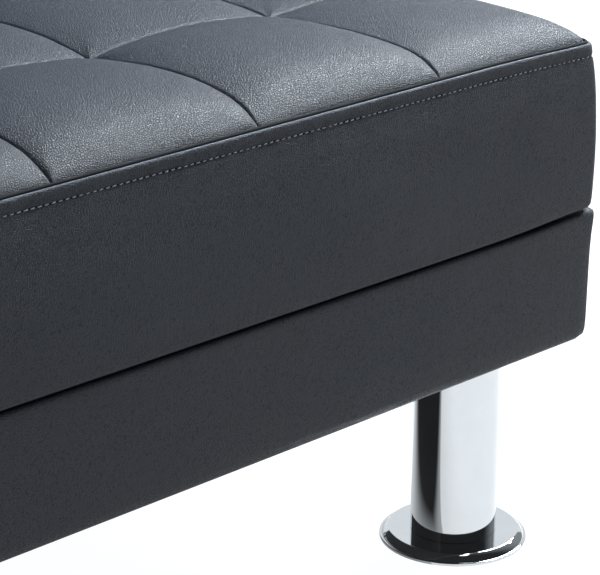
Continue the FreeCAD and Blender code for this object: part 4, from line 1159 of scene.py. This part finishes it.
class FUTON_OT_under_cloth(bpy.types.Operator):
    """Staple the dust cloth under the base"""

    bl_idname = "futon.under_cloth"
    bl_label = "Dust cloth"

    def execute(self, context):
        low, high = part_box("base_dust_cover")
        legs = [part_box(node) for node in (*(f"leg_tube_{name}" for name in LEGS), "centre_leg_tube")]
        legs = [((a + b) / 2, (b.x - a.x) / 2 + 1.2 * MM) for a, b in legs]
        step = 12 * MM
        xs = np.linspace(low.x + 0.001, high.x - 0.001, round((high.x - low.x) / step) + 1)
        ys = np.linspace(low.y + 0.001, high.y - 0.001, round((high.y - low.y) / step) + 1)
        index, points = {}, []
        for i, x in enumerate(xs):
            for j, y in enumerate(ys):
                px, py, inside = x, y, False
                for centre, radius in legs:
                    gap = math.hypot(x - centre.x, y - centre.y)
                    if gap < radius - step * 0.55:
                        inside = True
                    elif gap < radius + step * 0.45:
                        px = centre.x + (x - centre.x) * radius / gap
                        py = centre.y + (y - centre.y) * radius / gap
                if inside:
                    continue
                edge = min(i, len(xs) - 1 - i, j, len(ys) - 1 - j) * step
                sag = -0.5 * MM * min(1.0, edge / 0.15) * (1 + wobble((x, y, 0), 6, 0.7))
                index[i, j] = len(points)
                points.append((px, py, low.z + 0.2 * MM + sag))
        faces = []
        for i in range(len(xs) - 1):
            for j in range(len(ys) - 1):
                ring = [index.get(k) for k in ((i, j), (i + 1, j), (i + 1, j + 1), (i, j + 1))]
                if None not in ring:
                    faces.append(tuple(ring)[::-1])
        cloth = add_mesh("base_dust_cloth", points, faces, finish("dust_cloth"), "base")
        thick = cloth.modifiers.new("cloth thickness", "SOLIDIFY")
        thick.thickness = 0.5 * MM
        thick.offset = 1.0
        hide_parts("base_dust_cover")
        inset = 7 * MM
        spots, ways = [], []
        for x in np.arange(low.x + 0.03, high.x - 0.02, 0.05):
            for y in (low.y + inset, high.y - inset):
                spots.append((x, y, low.z))
                ways.append((1, 0, 0))
        for y in np.arange(low.y + 0.04, high.y - 0.03, 0.05):
            for x in (low.x + inset, high.x - inset):
                spots.append((x, y, low.z))
                ways.append((0, 1, 0))
        points, faces = staples(spots, ways)
        wires = add_mesh("base_staples", points, faces, finish("zinc_steel"), "base")
        return {"FINISHED"}


def covered_board(low, high, bevel, crown, up=1.0):
    """A thin board wrapped in leathercloth: eased edges and a slightly padded face."""
    spacing = 20 * MM
    half = (np.array(high[:2]) - np.array(low[:2])) / 2
    centre = (np.array(high[:2]) + np.array(low[:2])) / 2
    xs = np.linspace(-1, 1, max(4, round(2 * half[0] / spacing)) + 1)
    ys = np.linspace(-1, 1, max(4, round(2 * half[1] / spacing)) + 1)
    face_level, hidden = (high[2], low[2]) if up > 0 else (low[2], high[2])
    shell = []
    for x in xs:
        for y in ys:
            px, py = x * half[0], y * half[1]
            gap = min(half[0] - abs(px), half[1] - abs(py))
            inside = min(1.0, gap / bevel)
            drop = bevel * (1 - inside) ** 2
            swell = crown * (1 - math.exp(-gap / 0.05)) + 0.25 * MM * wobble((px, py, 0), 14, 8.8)
            shell.append((centre[0] + px, centre[1] + py, face_level + up * (swell * inside - drop)))
    rim = rim_indices(len(xs), len(ys))
    skirt, lid = skirt_faces(rim, len(shell))
    shell += [(shell[k][0], shell[k][1], hidden) for k in rim]
    faces = [(a, d, c, b) for a, b, c, d in grid_faces(len(xs), len(ys))] + skirt + [lid[::-1]]
    return np.array(shell), faces if up > 0 else [face[::-1] for face in faces]


class FUTON_OT_covered_boards(bpy.types.Operator):
    """Cover the board on the rear of the back and the deck behind the seat"""

    bl_idname = "futon.covered_boards"
    bl_label = "Covered boards"

    def execute(self, context):
        low, high = extents("back_rear_panel", BACK_PLACE)
        points, faces = covered_board(low, high, 2.5 * MM, 0.8 * MM, up=-1.0)
        rear = add_mesh("back_rear_cover", points, faces, finish("leathercloth"), "back", BACK_PLACE)
        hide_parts("back_rear_panel")
        low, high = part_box("base_rear_deck")
        points, faces = covered_board(low, high, 1.5 * MM, 0.0, up=1.0)
        deck = add_mesh("base_deck_cover", points, faces, finish("leathercloth"), "base")
        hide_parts("base_rear_deck")
        return {"FINISHED"}


# --------------------------------------------------------------------- legs


def arc_points(centre, radius, start, end, count):
    """Section points along an arc, angles in degrees."""
    return [(centre[0] + radius * math.cos(math.radians(start + (end - start) * k / count)),
             centre[1] + radius * math.sin(math.radians(start + (end - start) * k / count)))
            for k in range(count + 1)]


FOOT_FLAT = 45.5  # millimetres from a foot's axis to the edge of its flat top


def foot_section(flange, flat, thick):
    """Turned foot: a thin flange, a fine step, a rounded bevel and a mirror-flat top, in millimetres."""
    lip, bore = 2.3, 3.2
    step = ((1.5, 0.0), (1.6, 0.35), (2.1, 1.1), (3.0, 2.2), (4.0, 3.2), (5.0, 4.0), (5.7, 4.4))
    face = [(radius, thick) for radius in (flat - 0.3, flat - 0.9, flat - 3.0, 8.0, bore)]
    return ([(bore, 0.0), (flange - 0.5, 0.0)] + arc_points((flange - 0.5, 0.5), 0.5, -90, 0, 3)
            + arc_points((flange - 0.6, lip - 0.6), 0.6, 0, 90, 4)
            + [(flange - inward, lip + rise) for inward, rise in step]
            + [(flat + 0.1, thick - 0.15)] + face)


class FUTON_OT_legs(bpy.types.Operator):
    """Turn the chrome legs: their tubes and their stepped feet"""

    bl_idname = "futon.legs"
    bl_label = "Legs"

    def execute(self, context):
        feet = []
        foot_low, foot_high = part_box("leg_foot_discs")
        for name in LEGS:
            low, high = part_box(f"leg_tube_{name}")
            centre = (low + high) / 2
            radius = (high.x - low.x) / 2 / MM
            bottom, top = low.z / MM, high.z / MM
            section = ([(radius - 1.5, bottom), (radius - 0.4, bottom), (radius, bottom + 0.4)]
                       + [(radius, bottom + (top - bottom) * k / 6) for k in range(1, 6)]
                       + [(radius, top - 0.3), (radius - 0.3, top), (radius - 1.5, top)])
            points, faces = lathe(np.array(section) * MM)
            points += np.array((centre.x, centre.y, 0.0))
            tube = add_mesh(f"chrome_tube_{name}", points, faces, finish("chrome"), "base")
            sharpen(tube)
            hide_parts(f"leg_tube_{name}")
            half = (foot_high.x - foot_low.x) / 2 - abs(centre.x)
            turned = np.array(foot_section(half / MM, FOOT_FLAT, (foot_high.z - foot_low.z) / MM)) * MM
            points, faces = lathe(turned, sides=128)
            feet.append((points + np.array((centre.x, centre.y, foot_low.z)), faces))
        points, faces = merge(feet)
        discs = add_mesh("chrome_feet", points, faces, finish("chrome"), "base")
        sharpen(discs)
        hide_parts("leg_foot_discs")
        return {"FINISHED"}


def sharpen(obj, degrees=28):
    """Smooth shading that keeps turned edges crisp."""
    obj.data.shade_smooth()
    obj.data.set_sharp_from_angle(angle=math.radians(degrees))


# ------------------------------------------------------------ finishes on CAD nodes


FINISHED_NODES = {
    "timber_along": ("base_long_boards", "base_crease_rail", "seat_front_rail", "seat_rear_rail",
        "back_lower_rail", "back_upper_rail"),
    "timber_across": ("base_end_boards", "base_cross_beams", "base_corner_blocks",
        "seat_side_rails", "seat_cross_rails", "back_side_rails", "back_cross_rails"),
    "clip_plastic": ("seat_spring_clips", "back_spring_clips"),
    "glide_felt": ("leg_glides",),
    "black_paint": ("centre_leg_tube",),
    "black_plastic": ("centre_leg_cap",),
    "zinc_steel": ("leg_plugs", "leg_studs", "leg_tee_nuts", "leg_foot_screws", "hinge_bolts",
        "hinge_lock_nuts", "hinge_washers", "hinge_screws_seat", "hinge_screws_back",
        "hinge_screws_base", "hinge_pawl_left", "hinge_pawl_right"),
    "hinge_paint": ("hinge_seat_plates", "hinge_back_plates", "hinge_base_brackets"),
}


class FUTON_OT_frame_finishes(bpy.types.Operator):
    """Give every timber, plate and fastener of the frame its finish"""

    bl_idname = "futon.frame_finishes"
    bl_label = "Frame finishes"

    def execute(self, context):
        for name, nodes in FINISHED_NODES.items():
            made = finish(name)
            for node in (NODES[n] for n in nodes):
                if not node.material_slots:
                    node.data.materials.append(made)
                for slot in node.material_slots:
                    slot.material = made
        return {"FINISHED"}


# -------------------------------------------------------------------- stage


def area_light(name, place, aim, size, power):
    """A soft box that points at a spot."""
    data = bpy.data.lights.new(name, "AREA")
    data.shape = "RECTANGLE"
    data.size, data.size_y = size
    data.energy = power
    data.color = (0.88, 0.945, 1.0)
    lamp = bpy.data.objects.new(name, data)
    bpy.context.scene.collection.objects.link(lamp)
    lamp.location = place
    lamp.rotation_mode = "QUATERNION"
    lamp.rotation_quaternion = (Vector(aim) - Vector(place)).to_track_quat("-Z", "Y")


def stage_piece(name, points, faces, look, unseen_by):
    """A part of the studio that some kinds of ray pass through."""
    piece = add_mesh(name, points, faces, finish(look), None)
    for ray in unseen_by:
        setattr(piece, f"visible_{ray}", False)


def flat_piece(name, low, high, level, look, unseen_by):
    """A level rectangle of the studio."""
    points = [(*corner, level) for corner in rectangle(low, high)]
    stage_piece(name, points, [(0, 1, 2, 3)], look, unseen_by)


def light_room(world, settings):
    """A room that is pale beyond the sofa and dark on the viewer's side."""
    tree = world.node_tree
    background = tree.nodes["Background"]
    place = tree.nodes.new("ShaderNodeTexCoord")
    along = tree.nodes.new("ShaderNodeVectorMath")
    along.operation = "DOT_PRODUCT"
    along.inputs[1].default_value = (math.sin(settings.heading), math.cos(settings.heading), 0.25)
    tree.links.new(place.outputs["Generated"], along.inputs[0])
    ramp = tree.nodes.new("ShaderNodeMapRange")
    ramp.interpolation_type = "SMOOTHSTEP"
    for socket, value in (("From Min", 0.05), ("From Max", 0.7), ("To Min", 0.03), ("To Max", 0.34)):
        ramp.inputs[socket].default_value = value
    tree.links.new(along.outputs["Value"], ramp.inputs["Value"])
    tree.links.new(ramp.outputs["Result"], background.inputs["Strength"])
    background.inputs["Color"].default_value = (0.93, 0.97, 1.0, 1.0)


class FUTON_OT_stage(bpy.types.Operator):
    """Set the floor, the soft light and the camera"""

    bl_idname = "futon.stage"
    bl_label = "Stage"

    def execute(self, context):
        settings = context.scene.futon_stage
        flat_piece("studio_floor", (-60, -60), (60, 60), 0.0, "floor", ())
        steps, radius, height = 48, 56.0, 60.0
        turn = [2 * math.pi * k / steps for k in range(steps)]
        wall = [(radius * math.cos(a), radius * math.sin(a), z) for z in (0.0, height) for a in turn]
        roof = [(steps + k, steps + (k + 1) % steps, 2 * steps) for k in range(steps)]
        stage_piece("studio_backdrop", wall + [(0, 0, height)],
                    grid_faces(2, steps, wrap_length=True) + roof, "backdrop",
                    ("diffuse", "glossy", "transmission", "shadow"))
        world = bpy.data.worlds.new("studio")
        world.use_nodes = True
        light_room(world, settings)
        context.scene.world = world
        area_light("overhead_soft_box", (0.9, -0.1, 3.4), (0.7, -0.2, 0.3), (2.2, 1.1), 52)
        area_light("right_soft_box", (2.7, -0.2, 2.3), (0.7, -0.25, 0.35), (1.1, 2.0), 310)
        mirrored_only = ("camera", "diffuse", "shadow")
        # A glowing card that only mirrors show: a painted reflection in the chrome feet.
        card = [(0.95, 0.33, 0.02), (1.55, -0.27, 0.02), (1.55, -0.27, 0.36), (0.95, 0.33, 0.36)]
        stage_piece("reflection_glow_card", card, [(0, 1, 2, 3)], "card", mirrored_only)
        # A black sheet under the sofa that only mirrors show: the painted shadow of the sofa on the floor,
        # which the glowing floor does not show.
        flat_piece("painted_floor_shadow", (-0.88, -0.395), (0.88, 0.35), 0.0006, "floor_shadow", mirrored_only)
        low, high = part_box("seat_boxing_ends")
        corner = Vector((high.x, low.y, high.z + SEAM_LIFT))
        data = bpy.data.cameras.new("camera")
        data.lens = settings.lens
        data.sensor_width = 36.0
        camera = bpy.data.objects.new("camera", data)
        context.scene.collection.objects.link(camera)
        camera.location = corner + Vector(settings.reach)
        heading, pitch = settings.heading, settings.pitch
        level = math.cos(pitch)
        ahead = Vector((math.sin(heading) * level, math.cos(heading) * level, -math.sin(pitch)))
        camera.rotation_mode = "QUATERNION"
        upright = ahead.to_track_quat("-Z", "Y").to_matrix()
        camera.rotation_quaternion = (upright @ Matrix.Rotation(settings.roll, 3, "Z")).to_quaternion()
        context.scene.camera = camera
        context.scene.view_settings.view_transform = "Standard"
        return {"FINISHED"}


class FUTON_PT_sidebar(bpy.types.Panel):
    """Lists the pieces that can be made"""

    bl_label = "Futon"
    bl_idname = "FUTON_PT_sidebar"
    bl_space_type = "VIEW_3D"
    bl_region_type = "UI"
    bl_category = "Futon"

    def draw(self, context):
        for group in (context.scene.futon_cover, context.scene.futon_colours, context.scene.futon_stage):
            box = self.layout.box()
            for name in group.__annotations__:
                box.prop(group, name)
        for operator in OPERATORS:
            self.layout.operator(operator.bl_idname)


GROUPS = (FutonCover, FutonColours, FutonStage)
OPERATORS = (
    FUTON_OT_stage, FUTON_OT_frame_finishes, FUTON_OT_springs, FUTON_OT_filling, FUTON_OT_quilted_panels,
    FUTON_OT_side_bands, FUTON_OT_base_cover, FUTON_OT_under_cloth, FUTON_OT_covered_boards, FUTON_OT_legs,
)


def register():
    for one in (*GROUPS, *OPERATORS, FUTON_PT_sidebar):
        bpy.utils.register_class(one)
    bpy.types.Scene.futon_cover = PointerProperty(type=FutonCover)
    bpy.types.Scene.futon_colours = PointerProperty(type=FutonColours)
    bpy.types.Scene.futon_stage = PointerProperty(type=FutonStage)


def unregister():
    del bpy.types.Scene.futon_stage
    del bpy.types.Scene.futon_colours
    del bpy.types.Scene.futon_cover
    for one in reversed((*GROUPS, *OPERATORS, FUTON_PT_sidebar)):
        bpy.utils.unregister_class(one)


def main():
    """Registers the add-on, then makes every piece."""
    register()
    for operator in OPERATORS:
        group, name = operator.bl_idname.split(".")
        getattr(getattr(bpy.ops, group), name)()


if __name__ == "__main__":
    main()
